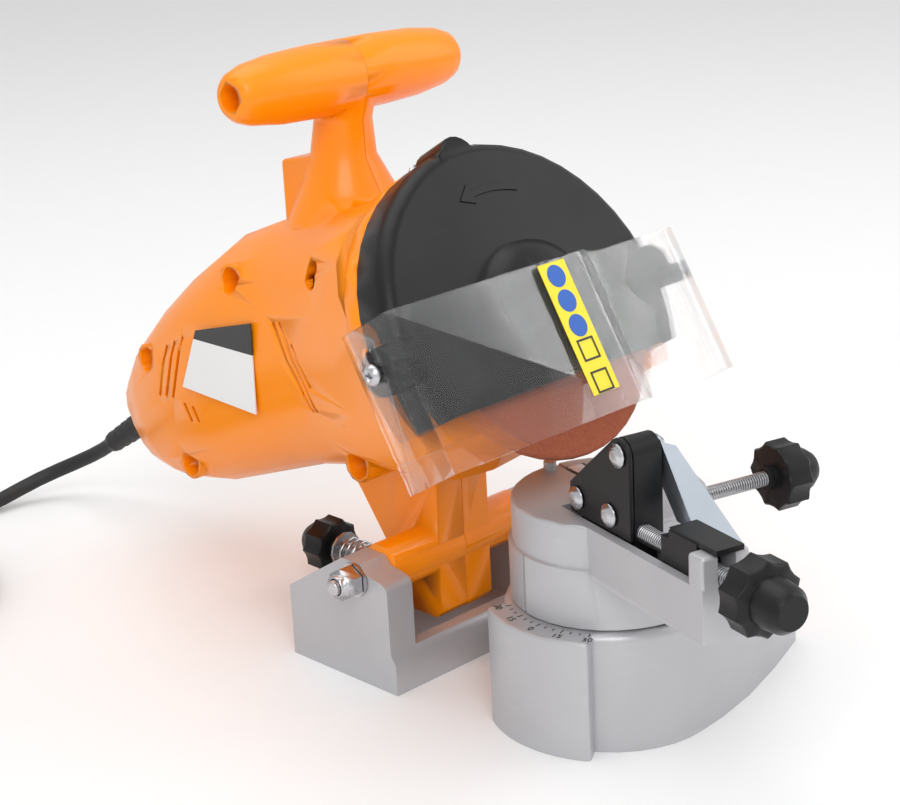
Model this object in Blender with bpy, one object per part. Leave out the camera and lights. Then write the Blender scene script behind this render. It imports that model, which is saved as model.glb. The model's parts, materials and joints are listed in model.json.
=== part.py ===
"""Electric chainsaw sharpener: a bench grinder head that tilts over a swivelling chain vise.

World frame: +X along the hinge to the machine's right, -Y to the user, +Z up. The origin lies on the bench
under the vise's swivel axis.
"""

import math

import bmesh
import bpy
import numpy
from mathutils import Matrix, Vector

MM = 0.001
TAU = math.tau

# General clearances and facets
GAP = 0.3 * MM
OVERRUN = 20.0 * MM
FINE_ROUND = 44
ROUND = 28
SMALL_ROUND = 12

# Grinding wheel and its seat on the motor axis
WHEEL_R = 50.0 * MM
WHEEL_T = 3.2 * MM
WHEEL_BORE_R = 5.0 * MM
WHEEL_Y = 33.7 * MM
WHEEL_Z = 131.4 * MM
WHEEL_TILT = math.radians(30.6)
FLANGE_R = 15.0 * MM
FLANGE_T = 2.4 * MM
NUT_AF = 13.0 * MM
NUT_H = 6.0 * MM

# Tilt hinge between the base and the head
HINGE_Y = 78.0 * MM
HINGE_Z = 39.5 * MM
HINGE_BOLT_R = 3.0 * MM
HINGE_NUT_AF = 10.5 * MM
HINGE_NUT_H = 5.6 * MM
HINGE_COLLAR_R = 4.1 * MM
HINGE_COLLAR_H = 2.2 * MM
HINGE_HEAD_H = 4.0 * MM
HINGE_WASHER_R = 6.3 * MM
HINGE_WASHER_T = 1.2 * MM
BOLT_END = 1.6 * MM

# Base casting: hinge block
BASE_HALF_W = 45.5 * MM
EAR_T = 12.0 * MM
EAR_FRONT_Y = 62.3 * MM
EAR_REAR_Y = 115.0 * MM
EAR_FRONT_Z = 41.0 * MM
EAR_TOP_Z = 45.6 * MM
EAR_REAR_Z = 27.0 * MM
EAR_CREST_FRONT_Y = 72.5 * MM
EAR_CREST_REAR_Y = 85.0 * MM
EAR_CORNER = 3.0 * MM
LIP_FRONT_Y = 60.0 * MM
LIP_T = 5.0 * MM
LIP_Z = 15.0 * MM
FLOOR_T = 5.0 * MM
REAR_WALL_T = 6.0 * MM
REAR_WALL_Z = 27.0 * MM
NECK_LEFT_X = 3.0 * MM
NECK_RIGHT_X = 34.0 * MM
NECK_H = 14.0 * MM
CAST_EDGE = 1.2 * MM

# Base casting: pedestal and toe
PEDESTAL_R = 36.2 * MM
PEDESTAL_H = 41.8 * MM
PEDESTAL_WALL = 5.0 * MM
PEDESTAL_EDGE = 3.0 * MM
SCALE_R = 43.0 * MM
SCALE_START = math.radians(147.0)
SCALE_END = math.radians(211.0)
TOE_SIDE = (
    (15.3 * MM, -35.2 * MM),
    (33.3 * MM, -32.2 * MM),
    (55.2 * MM, -26.2 * MM),
)
TOE_TIP_X = 80.0 * MM
TOE_TIP_Y = -15.0 * MM
TOE_TIP_R = 4.0 * MM
TOE_TIP_Z = 5.0 * MM
TOE_SLOPE_X = 27.0 * MM

# Pedestal cover and swivel bolt
COVER_T = 3.0 * MM
SWIVEL_TOP_T = 6.0 * MM
SWIVEL_BOLT_R = 5.0 * MM
SWIVEL_HEAD_R = 9.0 * MM
SWIVEL_HEAD_H = 6.0 * MM
SWIVEL_WASHER_R = 14.0 * MM
SWIVEL_WASHER_T = 2.0 * MM

# Vise casting, in the vise's own frame: +X along the arm, +Y to its right
VISE_ANGLE = math.radians(255.0)
TURRET_R = 32.6 * MM
TURRET_LOW_R = 33.8 * MM
TURRET_STEP_Z = 62.5 * MM
TURRET_TOP = 77.4 * MM
TURRET_EDGE = 0.8 * MM
TURRET_THREAD_DEPTH = 14.0 * MM
POINTER_W = 1.4 * MM
POINTER_D = 0.7 * MM
POINTER_ANGLE = math.radians(-90.0)
ARM_LEFT = -23.4 * MM
ARM_RIGHT = -6.0 * MM
ARM_FRONT = 84.0 * MM
ARM_BOTTOM = 60.0 * MM
ARM_WALL = 3.2 * MM
CHANNEL_REAR = 2.0 * MM
CHANNEL_FLOOR = 66.0 * MM
END_BLOCK_REAR = 76.5 * MM
END_BLOCK_TOP = 87.6 * MM
POCKET_REAR = -27.0 * MM
POCKET_FRONT = 15.0 * MM
POCKET_FLOOR = 63.0 * MM
CHAIN_GAP = 1.6 * MM
JAW_T = 5.6 * MM
JAW_PLAY = 1.0 * MM
SLIT_REAR = -36.0 * MM
SLIT_FRONT = 28.0 * MM
SLIT_FLOOR = 70.0 * MM
GUIDE_POST_X = -28.5 * MM
GUIDE_POST_Y = -5.0 * MM
GUIDE_POST_R = 2.2 * MM
GUIDE_POST_H = 3.0 * MM

# Clamp screw
CLAMP_X = 5.0 * MM
CLAMP_Z = 69.2 * MM
CLAMP_ROD_R = 2.6 * MM
CLAMP_KNOB_Y = 63.0 * MM
CLAMP_HUB_END = 80.0 * MM

# Feed screw
FEED_Y = -14.5 * MM
FEED_Z = 79.6 * MM
FEED_ROD_R = 3.0 * MM
FEED_KNOB_X = 94.5 * MM
FEED_HUB_END = 115.0 * MM

# Knobs
KNOB_R = 12.2 * MM
KNOB_RIM_L = 9.5 * MM
KNOB_LOBES = 10
KNOB_LOBE_R = 1.5 * MM
KNOB_HUB_R = 8.2 * MM
KNOB_CAP_R = 4.6 * MM
KNOB_COLLAR_R = 4.4 * MM
KNOB_COLLAR_L = 3.0 * MM
DEPTH_KNOB_R = 11.0 * MM

# Carriage that stops the chain
CARRIAGE_LEFT = -20.0 * MM
CARRIAGE_RIGHT = -7.6 * MM
CARRIAGE_REAR = 8.0 * MM
CARRIAGE_FRONT = 42.0 * MM
CARRIAGE_BOTTOM = 77.8 * MM
CARRIAGE_SHOULDER_Z = 88.0 * MM
CARRIAGE_TOP_Z = 110.5 * MM
CARRIAGE_TOP_R = 5.5 * MM
CHEEK_T = 1.6 * MM
FOOT_REAR = 11.0 * MM
FOOT_FRONT = 41.0 * MM
FOOT_BOTTOM = 67.0 * MM
CHEEK_SCREW_R = 3.1 * MM
CHEEK_SCREW_H = 1.9 * MM
CHEEK_WASHER_R = 3.9 * MM
CHEEK_WASHER_T = 0.7 * MM
LEVER_T = 1.2 * MM
LEVER_LENGTH = 29.0 * MM
LEVER_FLANGE_L = 41.0 * MM
LEVER_FLANGE_W = 16.0 * MM
LEVER_SLOPE = math.radians(54.0)
LEVER_PLANE = CARRIAGE_RIGHT + GAP * 2
PIVOT_R = 1.8 * MM
PIVOT_DEPTH = 4.0 * MM
PIVOT_HEAD_R = 3.0 * MM
PIVOT_HEAD_T = 1.2 * MM
BRACKET_REAR = 58.0 * MM
BRACKET_TOP = 86.0 * MM
CAP_T = 1.8 * MM
CAP_REAR = 62.0 * MM
CAP_FRONT = 85.5 * MM
CAP_LEFT = -19.3 * MM
CAP_RIGHT = -9.2 * MM

# Depth stop screw
DEPTH_Z = 20.0 * MM
DEPTH_ROD_R = 3.0 * MM
DEPTH_TIP_Y = 92.0 * MM
DEPTH_KNOB_Y = 140.0 * MM
DEPTH_HUB_END = 156.0 * MM
DEPTH_SPRING_R = 5.6 * MM
DEPTH_SPRING_WIRE_R = 0.6 * MM
DEPTH_SPRING_TURNS = 6
DEPTH_WASHER_T = 1.0 * MM

# Wheel guard
GUARD_CLEARANCE = 12.0 * MM
GUARD_R = WHEEL_R + GUARD_CLEARANCE
GUARD_WALL = 2.0 * MM
GUARD_FRONT = 5.6 * MM
GUARD_BACK = -9.5 * MM
GUARD_CUT = -24.0 * MM
GUARD_EDGE = 5.0 * MM
DOME_R = 25.0 * MM
DOME_FRONT = 16.0 * MM
DOME_SHOULDER = 6.0 * MM
GUARD_EAR_R = 8.0 * MM
GUARD_EAR_DROP = 0.8 * MM
GUARD_EARS = ((-4.5 * MM, GUARD_R - 5.2 * MM), (GUARD_R - 1.5 * MM, 2.0 * MM))
GUARD_SCREWS = ((-5.0 * MM, GUARD_R - 1.8 * MM), (GUARD_R - 1.6 * MM, 2.0 * MM))
GUARD_COLUMN_R = 3.8 * MM
GUARD_SCREW_SEAT = -15.5 * MM
VISOR_BOSS_R = 8.0 * MM
RIGHT_BOSS_R = 3.6 * MM
VISOR_BOSS_DROP = -2.3 * MM

# Clear visor
VISOR_T = 1.6 * MM
VISOR_HALF_W = GUARD_R + 11.0 * MM
VISOR_TOP = 13.0 * MM
VISOR_BOTTOM = -41.0 * MM
VISOR_FRONT = 19.0 * MM
VISOR_BACK = -5.0 * MM
VISOR_STEP_BACK = 8.6 * MM
VISOR_STEP_START = 17.0 * MM
VISOR_STEP_END = 31.0 * MM
VISOR_SLOT_L = 6.5 * MM
VISOR_SCREW_R = 2.0 * MM
VISOR_HEAD_R = 3.6 * MM
VISOR_HEAD_H = 2.4 * MM
VISOR_SIDE_Z = 2.9 * MM
VISOR_BOSS_END = GUARD_R + 9.0 * MM
STRIP_W = 12.5 * MM
STRIP_T = 0.2 * MM
STRIP_LEFT = -6.0 * MM
STRIP_TOP = 12.0 * MM
STRIP_BOTTOM = -34.0 * MM

# Housing shells: stations of the barrel as (half width, bottom y, bottom z, top y, top z)
SHELL_WALL = 3.0 * MM
SEAM = 0.15 * MM
BARREL_STATIONS = (
    (57.0 * MM, 35.3 * MM, 95.6 * MM, 79.6 * MM, 170.5 * MM),
    (48.0 * MM, 53.5 * MM, 72.2 * MM, 106.5 * MM, 161.8 * MM),
    (38.0 * MM, 100.0 * MM, 66.0 * MM, 142.0 * MM, 153.0 * MM),
    (38.0 * MM, 128.0 * MM, 60.0 * MM, 165.0 * MM, 144.5 * MM),
    (37.0 * MM, 158.0 * MM, 49.5 * MM, 190.0 * MM, 128.0 * MM),
    (34.0 * MM, 185.0 * MM, 40.0 * MM, 212.0 * MM, 111.0 * MM),
    (30.0 * MM, 207.0 * MM, 36.0 * MM, 232.0 * MM, 93.0 * MM),
    (24.0 * MM, 222.0 * MM, 36.5 * MM, 246.0 * MM, 76.0 * MM),
    (15.0 * MM, 233.0 * MM, 42.0 * MM, 249.0 * MM, 64.0 * MM),
)
BARREL_SIDES = 24
BARREL_SQUARENESS = 2.6
FRONT_WALL_SHARE = 0.1
BRIDGE_START_SHARE = 0.2
BRIDGE_END_SHARE = 0.56
REAR_WALL_SHARE = 0.5
COLLAR_CUT = -30.0 * MM
COLLAR_R = GUARD_R
COLLAR_FRONT = -9.9 * MM
COLLAR_BACK = -22.0 * MM
LEG_HALF_W = 12.5 * MM
LEG_FRONT_Y = 70.0 * MM
LEG_BOTTOM_Z = 17.6 * MM
LEG_HEEL_Z = 14.5 * MM
LEG_REAR_Y = 85.0 * MM
LEG_WAIST_Y = 97.0 * MM
LEG_WAIST_Z = 37.0 * MM
LEG_HIP_Y = 112.0 * MM
LEG_HIP_Z = 58.0 * MM
LEG_TOP_Z = 90.0 * MM
BOSS_R = 9.0 * MM
HANDLE_Y = 119.0 * MM
HANDLE_Z = 204.5 * MM
HANDLE_R = 12.8 * MM
HANDLE_HALF_L = 51.0 * MM
# The handle's radius and place, as shares, from its middle to its end
HANDLE_TAPER = ((1.0, 0.3), (0.95, 0.62), (0.82, 0.86), (0.68, 0.96), (0.54, 1.0))
NECK_STATIONS = (
    (30.0 * MM, 115.0 * MM, 140.0 * MM),
    (23.0 * MM, 119.0 * MM, 155.0 * MM),
    (17.0 * MM, 121.0 * MM, 165.0 * MM),
    (12.0 * MM, 122.0 * MM, 176.0 * MM),
    (10.5 * MM, HANDLE_Y + 2.0 * MM, HANDLE_Z - 15.5 * MM),
    (11.5 * MM, HANDLE_Y, HANDLE_Z - 4.5 * MM),
)
WELL_R = 4.8 * MM
WELL_FLOOR_X = 22.0 * MM
HANDLE_WELL_FLOOR_X = 36.0 * MM
SCREW_POST_R = 6.5 * MM
SCREW_REACH = 10.0 * MM
HOUSING_SCREW_HEAD_R = 3.2 * MM
HOUSING_SCREW_HEAD_H = 2.4 * MM
HOUSING_SCREW_R = 1.8 * MM
BODY_WELLS = (
    (211.0 * MM, 90.0 * MM, 30.0 * MM),
    (191.0 * MM, 51.5 * MM, 29.0 * MM),
    (151.1 * MM, 132.0 * MM, 32.2 * MM),
    (93.4 * MM, 145.4 * MM, 37.0 * MM),
    (91.0 * MM, 74.0 * MM, 30.0 * MM),
)
PLATE_T = 0.5 * MM
PLATE_OUTLINE = (
    (167.0 * MM, 112.0 * MM),
    (134.0 * MM, 120.5 * MM),
    (135.0 * MM, 86.0 * MM),
    (178.0 * MM, 88.0 * MM),
)
VENT_W = 1.8 * MM
# Each vent's top y, z and bottom y, z
VENTS = (
    (121.5 * MM, 123.0 * MM, 102.4 * MM, 93.8 * MM),
    (116.5 * MM, 124.3 * MM, 99.2 * MM, 94.5 * MM),
    (109.0 * MM, 118.1 * MM, 99.6 * MM, 103.9 * MM),
    (180.2 * MM, 106.4 * MM, 190.2 * MM, 80.1 * MM),
    (186.7 * MM, 103.2 * MM, 195.3 * MM, 79.4 * MM),
    (193.3 * MM, 100.1 * MM, 200.4 * MM, 78.4 * MM),
    (182.4 * MM, 79.7 * MM, 179.1 * MM, 72.8 * MM),
    (177.0 * MM, 79.6 * MM, 174.2 * MM, 73.9 * MM),
)

# Motor
STATOR_R = 25.0 * MM
STATOR_L = 34.0 * MM
STATOR_START = 38.0 * MM
STATOR_BORE_R = 15.6 * MM
STATOR_RIB_START = 46.0 * MM
STATOR_RIB_END = 62.0 * MM
STATOR_RIB_REACH = 42.0 * MM
STATOR_RIB_HALF_H = 8.0 * MM
ROTOR_R = 15.0 * MM
SHAFT_R = 4.0 * MM
SHAFT_BACK = 104.0 * MM
BEARING_R = 11.0 * MM
BEARING_T = 7.0 * MM
FRONT_BEARING_START = 13.0 * MM
REAR_BEARING_START = 93.0 * MM
FAN_R = 22.0 * MM
FAN_HUB_R = 7.0 * MM
FAN_START = 25.0 * MM
FAN_T = 7.0 * MM
FAN_BLADES = 9
BRUSH_W = 8.0 * MM
BRUSH_REACH = 29.8 * MM
COMMUTATOR_R = 9.0 * MM
COMMUTATOR_START = 76.0 * MM
COMMUTATOR_L = 12.0 * MM

# Switch on the rear of the neck
SWITCH_HALF_W = 8.0 * MM
SWITCH_Z = 160.0 * MM
SWITCH_H = 22.0 * MM
SWITCH_OUT_Y = 145.0 * MM
SWITCH_RIM = 2.4 * MM
SWITCH_IN_Y = 130.0 * MM
ROCKER_H = 15.0 * MM
ROCKER_T = 3.0 * MM

# Mains lead
CORD_R = 3.1 * MM
BOOT_ROOT_R = 5.0 * MM
BOOT_ROOT_L = 14.0 * MM
BOOT_RIBS = 7
BOOT_BASE_R = 6.2 * MM
BOOT_TIP_R = 4.6 * MM
BOOT_LENGTH = 46.0 * MM
BOOT_START_Y = 247.0 * MM
BOOT_START_Z = 54.0 * MM
BOOT_TILT = math.radians(-31.0)
COIL_X = -128.0 * MM
COIL_Y = 276.6 * MM
COIL_PITCH = 7.0 * MM
COIL_INNER_R = 24.9 * MM
COIL_TURNS = 3.5
COIL_STEPS = 18
COIL_LIFT = 1.7 * MM
TIE_LIFT = 0.1 * MM
TIE_ANGLE = math.radians(135.0)
TAIL_L = 34.0 * MM
TAIL_STEPS = 5
TIE_W = 9.0 * MM
TIE_T = 1.2 * MM
PLUG_R = 18.0 * MM
PLUG_SLIM_SHARE = 0.75
PLUG_L = 34.0 * MM
PLUG_NECK_R = 7.0 * MM
PLUG_NECK_L = 16.0 * MM
PIN_R = 2.4 * MM
PIN_L = 19.0 * MM
PIN_SPACING = 19.0 * MM

# The lead's route from the boot's tip, on the bench, to the coil
LEAD_ROUTE = (
    (0.0000, 0.2867, 0.0301),
    (0.0000, 0.2948, 0.0252),
    (-0.0010, 0.3030, 0.0207),
    (-0.0042, 0.3108, 0.0166),
    (-0.0095, 0.3175, 0.0130),
    (-0.0165, 0.3225, 0.0098),
    (-0.0250, 0.3253, 0.0070),
    (-0.0340, 0.3260, 0.0050),
    (-0.0440, 0.3260, 0.0038),
    (-0.0560, 0.3260, 0.0033),
    (-0.0700, 0.3260, 0.0033),
    (-0.0840, 0.3260, 0.0036),
    (-0.0960, 0.3260, 0.0042),
    (-0.1070, 0.3260, 0.0047),
    (-0.1152, 0.3260, 0.0048),
    (-0.1215, 0.3260, 0.0048),
)


def clear_scene():
    """Remove every object the session started with."""
    for item in list(bpy.data.objects):
        bpy.data.objects.remove(item, do_unlink=True)


def finish(name, colour, roughness, metallic=0.0, alpha=1.0):
    """A plain Principled material."""
    material = bpy.data.materials.new(name)
    material.use_nodes = True
    shader = material.node_tree.nodes["Principled BSDF"]
    shader.inputs["Base Color"].default_value = (*colour, 1.0)
    shader.inputs["Roughness"].default_value = roughness
    shader.inputs["Metallic"].default_value = metallic
    shader.inputs["Alpha"].default_value = alpha
    return material


def frame(name, matrix):
    """An empty that carries the pieces of one axis."""
    empty = bpy.data.objects.new(name, None)
    bpy.context.scene.collection.objects.link(empty)
    empty.matrix_world = matrix
    return empty


def piece(name, mesh, material, carrier, place=None):
    """One named object on its carrier, shaded smooth with sharp edges kept."""
    bmesh.ops.remove_doubles(mesh, verts=mesh.verts, dist=MM / 1000)
    bmesh.ops.recalc_face_normals(mesh, faces=mesh.faces)
    data = bpy.data.meshes.new(name)
    mesh.to_mesh(data)
    mesh.free()
    data.shade_smooth()
    data.set_sharp_from_angle(angle=math.radians(35.0))
    data.materials.append(material)
    item = bpy.data.objects.new(name, data)
    bpy.context.scene.collection.objects.link(item)
    item.parent = carrier
    item.matrix_local = place or Matrix()
    return item


def gather(mesh, part):
    """Move one closed part into a mesh that holds several."""
    temporary = bpy.data.meshes.new("part")
    part.to_mesh(temporary)
    part.free()
    mesh.from_mesh(temporary)
    bpy.data.meshes.remove(temporary)


def tool(name, mesh, carrier, place=None):
    """A cutter or an added lump: it shapes another piece and is left out itself."""
    item = piece(name, mesh, bpy.data.materials[0], carrier, place)
    item.hide_render = True
    item.display_type = "WIRE"
    return item


def combine(target, other, operation):
    """Apply one boolean step of another object to the target."""
    step = target.modifiers.new(other.name, "BOOLEAN")
    step.operation = operation
    step.object = other


def cut(target, *cutters):
    """Take the cutters out of the target."""
    for cutter in cutters:
        combine(target, cutter, "DIFFERENCE")


def fuse(target, *lumps):
    """Add the lumps to the target."""
    for lump in lumps:
        combine(target, lump, "UNION")


def shift(x=0.0, y=0.0, z=0.0):
    """A plain move."""
    return Matrix.Translation((x, y, z))


def along(axis, x=0.0, y=0.0, z=0.0):
    """A move that also turns local +Z onto the given axis."""
    turn = Vector((0.0, 0.0, 1.0)).rotation_difference(Vector(axis)).to_matrix().to_4x4()
    return shift(x, y, z) @ turn


def loft(sections):
    """A closed skin through loops of equal count, with flat ends."""
    mesh = bmesh.new()
    loops = [[mesh.verts.new(point) for point in section] for section in sections]
    for first, second in zip(loops, loops[1:]):
        count = len(first)
        for index in range(count):
            after = (index + 1) % count
            mesh.faces.new((first[index], first[after], second[after], second[index]))
    mesh.faces.new(loops[0])
    mesh.faces.new(loops[-1])
    return mesh


def circle(radius, z, sides, x=0.0, y=0.0):
    """Points of one flat circle."""
    points = []
    for index in range(sides):
        angle = TAU * index / sides
        points.append((x + radius * math.cos(angle), y + radius * math.sin(angle), z))
    return points


def turned(profile, sides=ROUND):
    """A solid turned about local Z through (radius, height) pairs, all radii above zero."""
    return loft([circle(radius, height, sides) for radius, height in profile])


def turned_ring(profile, sides=ROUND):
    """A turned solid whose closed profile stays clear of the axis."""
    mesh = bmesh.new()
    loops = []
    for radius, height in profile:
        loops.append([mesh.verts.new(point) for point in circle(radius, height, sides)])
    loops.append(loops[0])
    for first, second in zip(loops, loops[1:]):
        for index in range(sides):
            after = (index + 1) % sides
            mesh.faces.new((first[index], first[after], second[after], second[index]))
    return mesh


def washer(outer, inner, low, high, sides=ROUND):
    """A flat ring."""
    return turned_ring([(outer, low), (outer, high), (inner, high), (inner, low)], sides)


def rod(radius, low, high, sides=SMALL_ROUND):
    """A plain round bar with small end chamfers."""
    edge = min(radius / 5, (high - low) / 5)
    return turned([(radius - edge, low), (radius, low + edge), (radius, high - edge), (radius - edge, high)], sides)


def bar(radius, low, high, sides=SMALL_ROUND):
    """A sharp-edged round bar, for bores and cuts."""
    return turned([(radius, low), (radius, high)], sides)


def prism(outline, low, high):
    """A flat outline in local XY raised along local Z."""
    return loft([[(x, y, low) for x, y in outline], [(x, y, high) for x, y in outline]])


def box(x0, x1, y0, y1, z0, z1):
    """A block from its limits."""
    return prism([(x0, y0), (x1, y0), (x1, y1), (x0, y1)], z0, z1)


def side_prism(outline, left, right):
    """An outline of (y, z) points raised along X."""
    return loft([[(left, y, z) for y, z in outline], [(right, y, z) for y, z in outline]])


def arm_prism(outline, left, right):
    """An outline of (x, z) points raised along Y."""
    return loft([[(x, left, z) for x, z in outline], [(x, right, z) for x, z in outline]])


def arc(radius, start, end, steps, x=0.0, y=0.0):
    """Points of an arc in the plane."""
    points = []
    for index in range(steps + 1):
        angle = start + (end - start) * index / steps
        points.append((x + radius * math.cos(angle), y + radius * math.sin(angle)))
    return points


def soften(item, width, segments=2, limit=math.radians(40.0)):
    """Round the piece's sharp edges."""
    step = item.modifiers.new("edges", "BEVEL")
    step.width = width
    step.segments = segments
    step.limit_method = "ANGLE"
    step.angle_limit = limit


def hexagon(across_flats):
    """The six corners of a nut."""
    return arc(across_flats / math.sqrt(3.0), 0.0, TAU * 5 / 6, 5)


def knob(hub_end, radius=KNOB_R):
    """A lobed hand knob whose back lies at local z 0 and whose cap reaches hub_end."""
    steps = KNOB_LOBES * 3
    sections = []

    def ring(size, height, lobe):
        points = []
        for index in range(steps):
            angle = TAU * index / steps
            reach = size - lobe * (0.5 - 0.5 * math.cos(KNOB_LOBES * angle))
            points.append((reach * math.cos(angle), reach * math.sin(angle), height))
        sections.append(points)

    edge = KNOB_LOBE_R / 2
    ring(KNOB_COLLAR_R, -KNOB_COLLAR_L, 0.0)
    ring(KNOB_COLLAR_R, 0.0, 0.0)
    ring(radius - edge, 0.0, KNOB_LOBE_R)
    ring(radius, edge, KNOB_LOBE_R)
    ring(radius, KNOB_RIM_L - edge, KNOB_LOBE_R)
    ring(radius - edge, KNOB_RIM_L, KNOB_LOBE_R)
    ring(KNOB_HUB_R, KNOB_RIM_L + edge, 0.0)
    ring(KNOB_HUB_R - edge, hub_end - KNOB_LOBE_R * 2, 0.0)
    ring(KNOB_CAP_R + edge, hub_end, 0.0)
    return loft(sections)


def tube(name, points, radius, material, sides_level):
    """A round tube along points, with filled ends."""
    curve = bpy.data.curves.new(name, "CURVE")
    curve.dimensions = "3D"
    curve.bevel_depth = radius
    curve.bevel_resolution = sides_level
    curve.use_fill_caps = True
    line = curve.splines.new("POLY")
    line.points.add(len(points) - 1)
    for index, point in enumerate(points):
        line.points[index].co = (*point, 1.0)
    curve.materials.append(material)
    item = bpy.data.objects.new(name, curve)
    bpy.context.scene.collection.objects.link(item)
    return item


def smooth_route(points, steps):
    """Points of a smooth curve through the given route."""
    route = [Vector(point) for point in points]
    route = [route[0] * 2 - route[1]] + route + [route[-1] * 2 - route[-2]]
    result = []
    for index in range(1, len(route) - 2):
        before, start, end, after = route[index - 1:index + 3]
        for step in range(steps):
            t = step / steps
            result.append(
                0.5 * (2 * start + (end - before) * t
                       + (2 * before - 5 * start + 4 * end - after) * t ** 2
                       + (3 * start - before - 3 * end + after) * t ** 3))
    result.append(route[-2])
    return result


clear_scene()

CAST = finish("grey_casting", (0.52, 0.52, 0.54), 0.38, 0.4)
ORANGE = finish("orange_plastic", (0.95, 0.32, 0.0), 0.3)
BLACK = finish("black_plastic", (0.02, 0.02, 0.022), 0.4)
CLEAR = finish("clear_plastic", (0.85, 0.9, 0.9), 0.08, 0.0, 0.3)
ABRASIVE = finish("brown_abrasive", (0.36, 0.09, 0.04), 0.9)
STEEL = finish("bright_steel", (0.62, 0.62, 0.64), 0.25, 1.0)
ZINC = finish("zinc_plate", (0.55, 0.6, 0.66), 0.35, 1.0)
COPPER = finish("copper_winding", (0.6, 0.25, 0.1), 0.4, 0.8)
WHITE = finish("white_sheet", (0.85, 0.85, 0.84), 0.5)
YELLOW = finish("yellow_sheet", (0.9, 0.75, 0.02), 0.45)
RUBBER = finish("black_rubber", (0.015, 0.015, 0.016), 0.6)

BASE = frame("base_frame", Matrix())
HINGE = frame("hinge_frame", shift(0.0, HINGE_Y, HINGE_Z))
MOTOR = frame("motor_frame", shift(0.0, WHEEL_Y, WHEEL_Z) @ Matrix.Rotation(math.pi / 2 - WHEEL_TILT, 4, "X"))
VISE = frame("vise_frame", Matrix.Rotation(VISE_ANGLE, 4, "Z"))
HEAD = frame("head_frame", Matrix())


def toe_outline():
    """The pedestal's round wall drawn out into the toe's tip."""
    start = math.radians(68.0)
    end = math.radians(275.0)
    points = arc(PEDESTAL_R, start, end, 20)
    points += TOE_SIDE
    points += arc(TOE_TIP_R, math.radians(-75.0), math.radians(40.0), 4, TOE_TIP_X - TOE_TIP_R, TOE_TIP_Y)
    return points


def fan(radius_in, radius_out, low, high):
    """The sector that carries the angle scale."""
    steps = 12
    outline = arc(radius_out, SCALE_START, SCALE_END, steps)
    outline += arc(radius_in, SCALE_END, SCALE_START, steps)
    return prism(outline, low, high)


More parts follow.
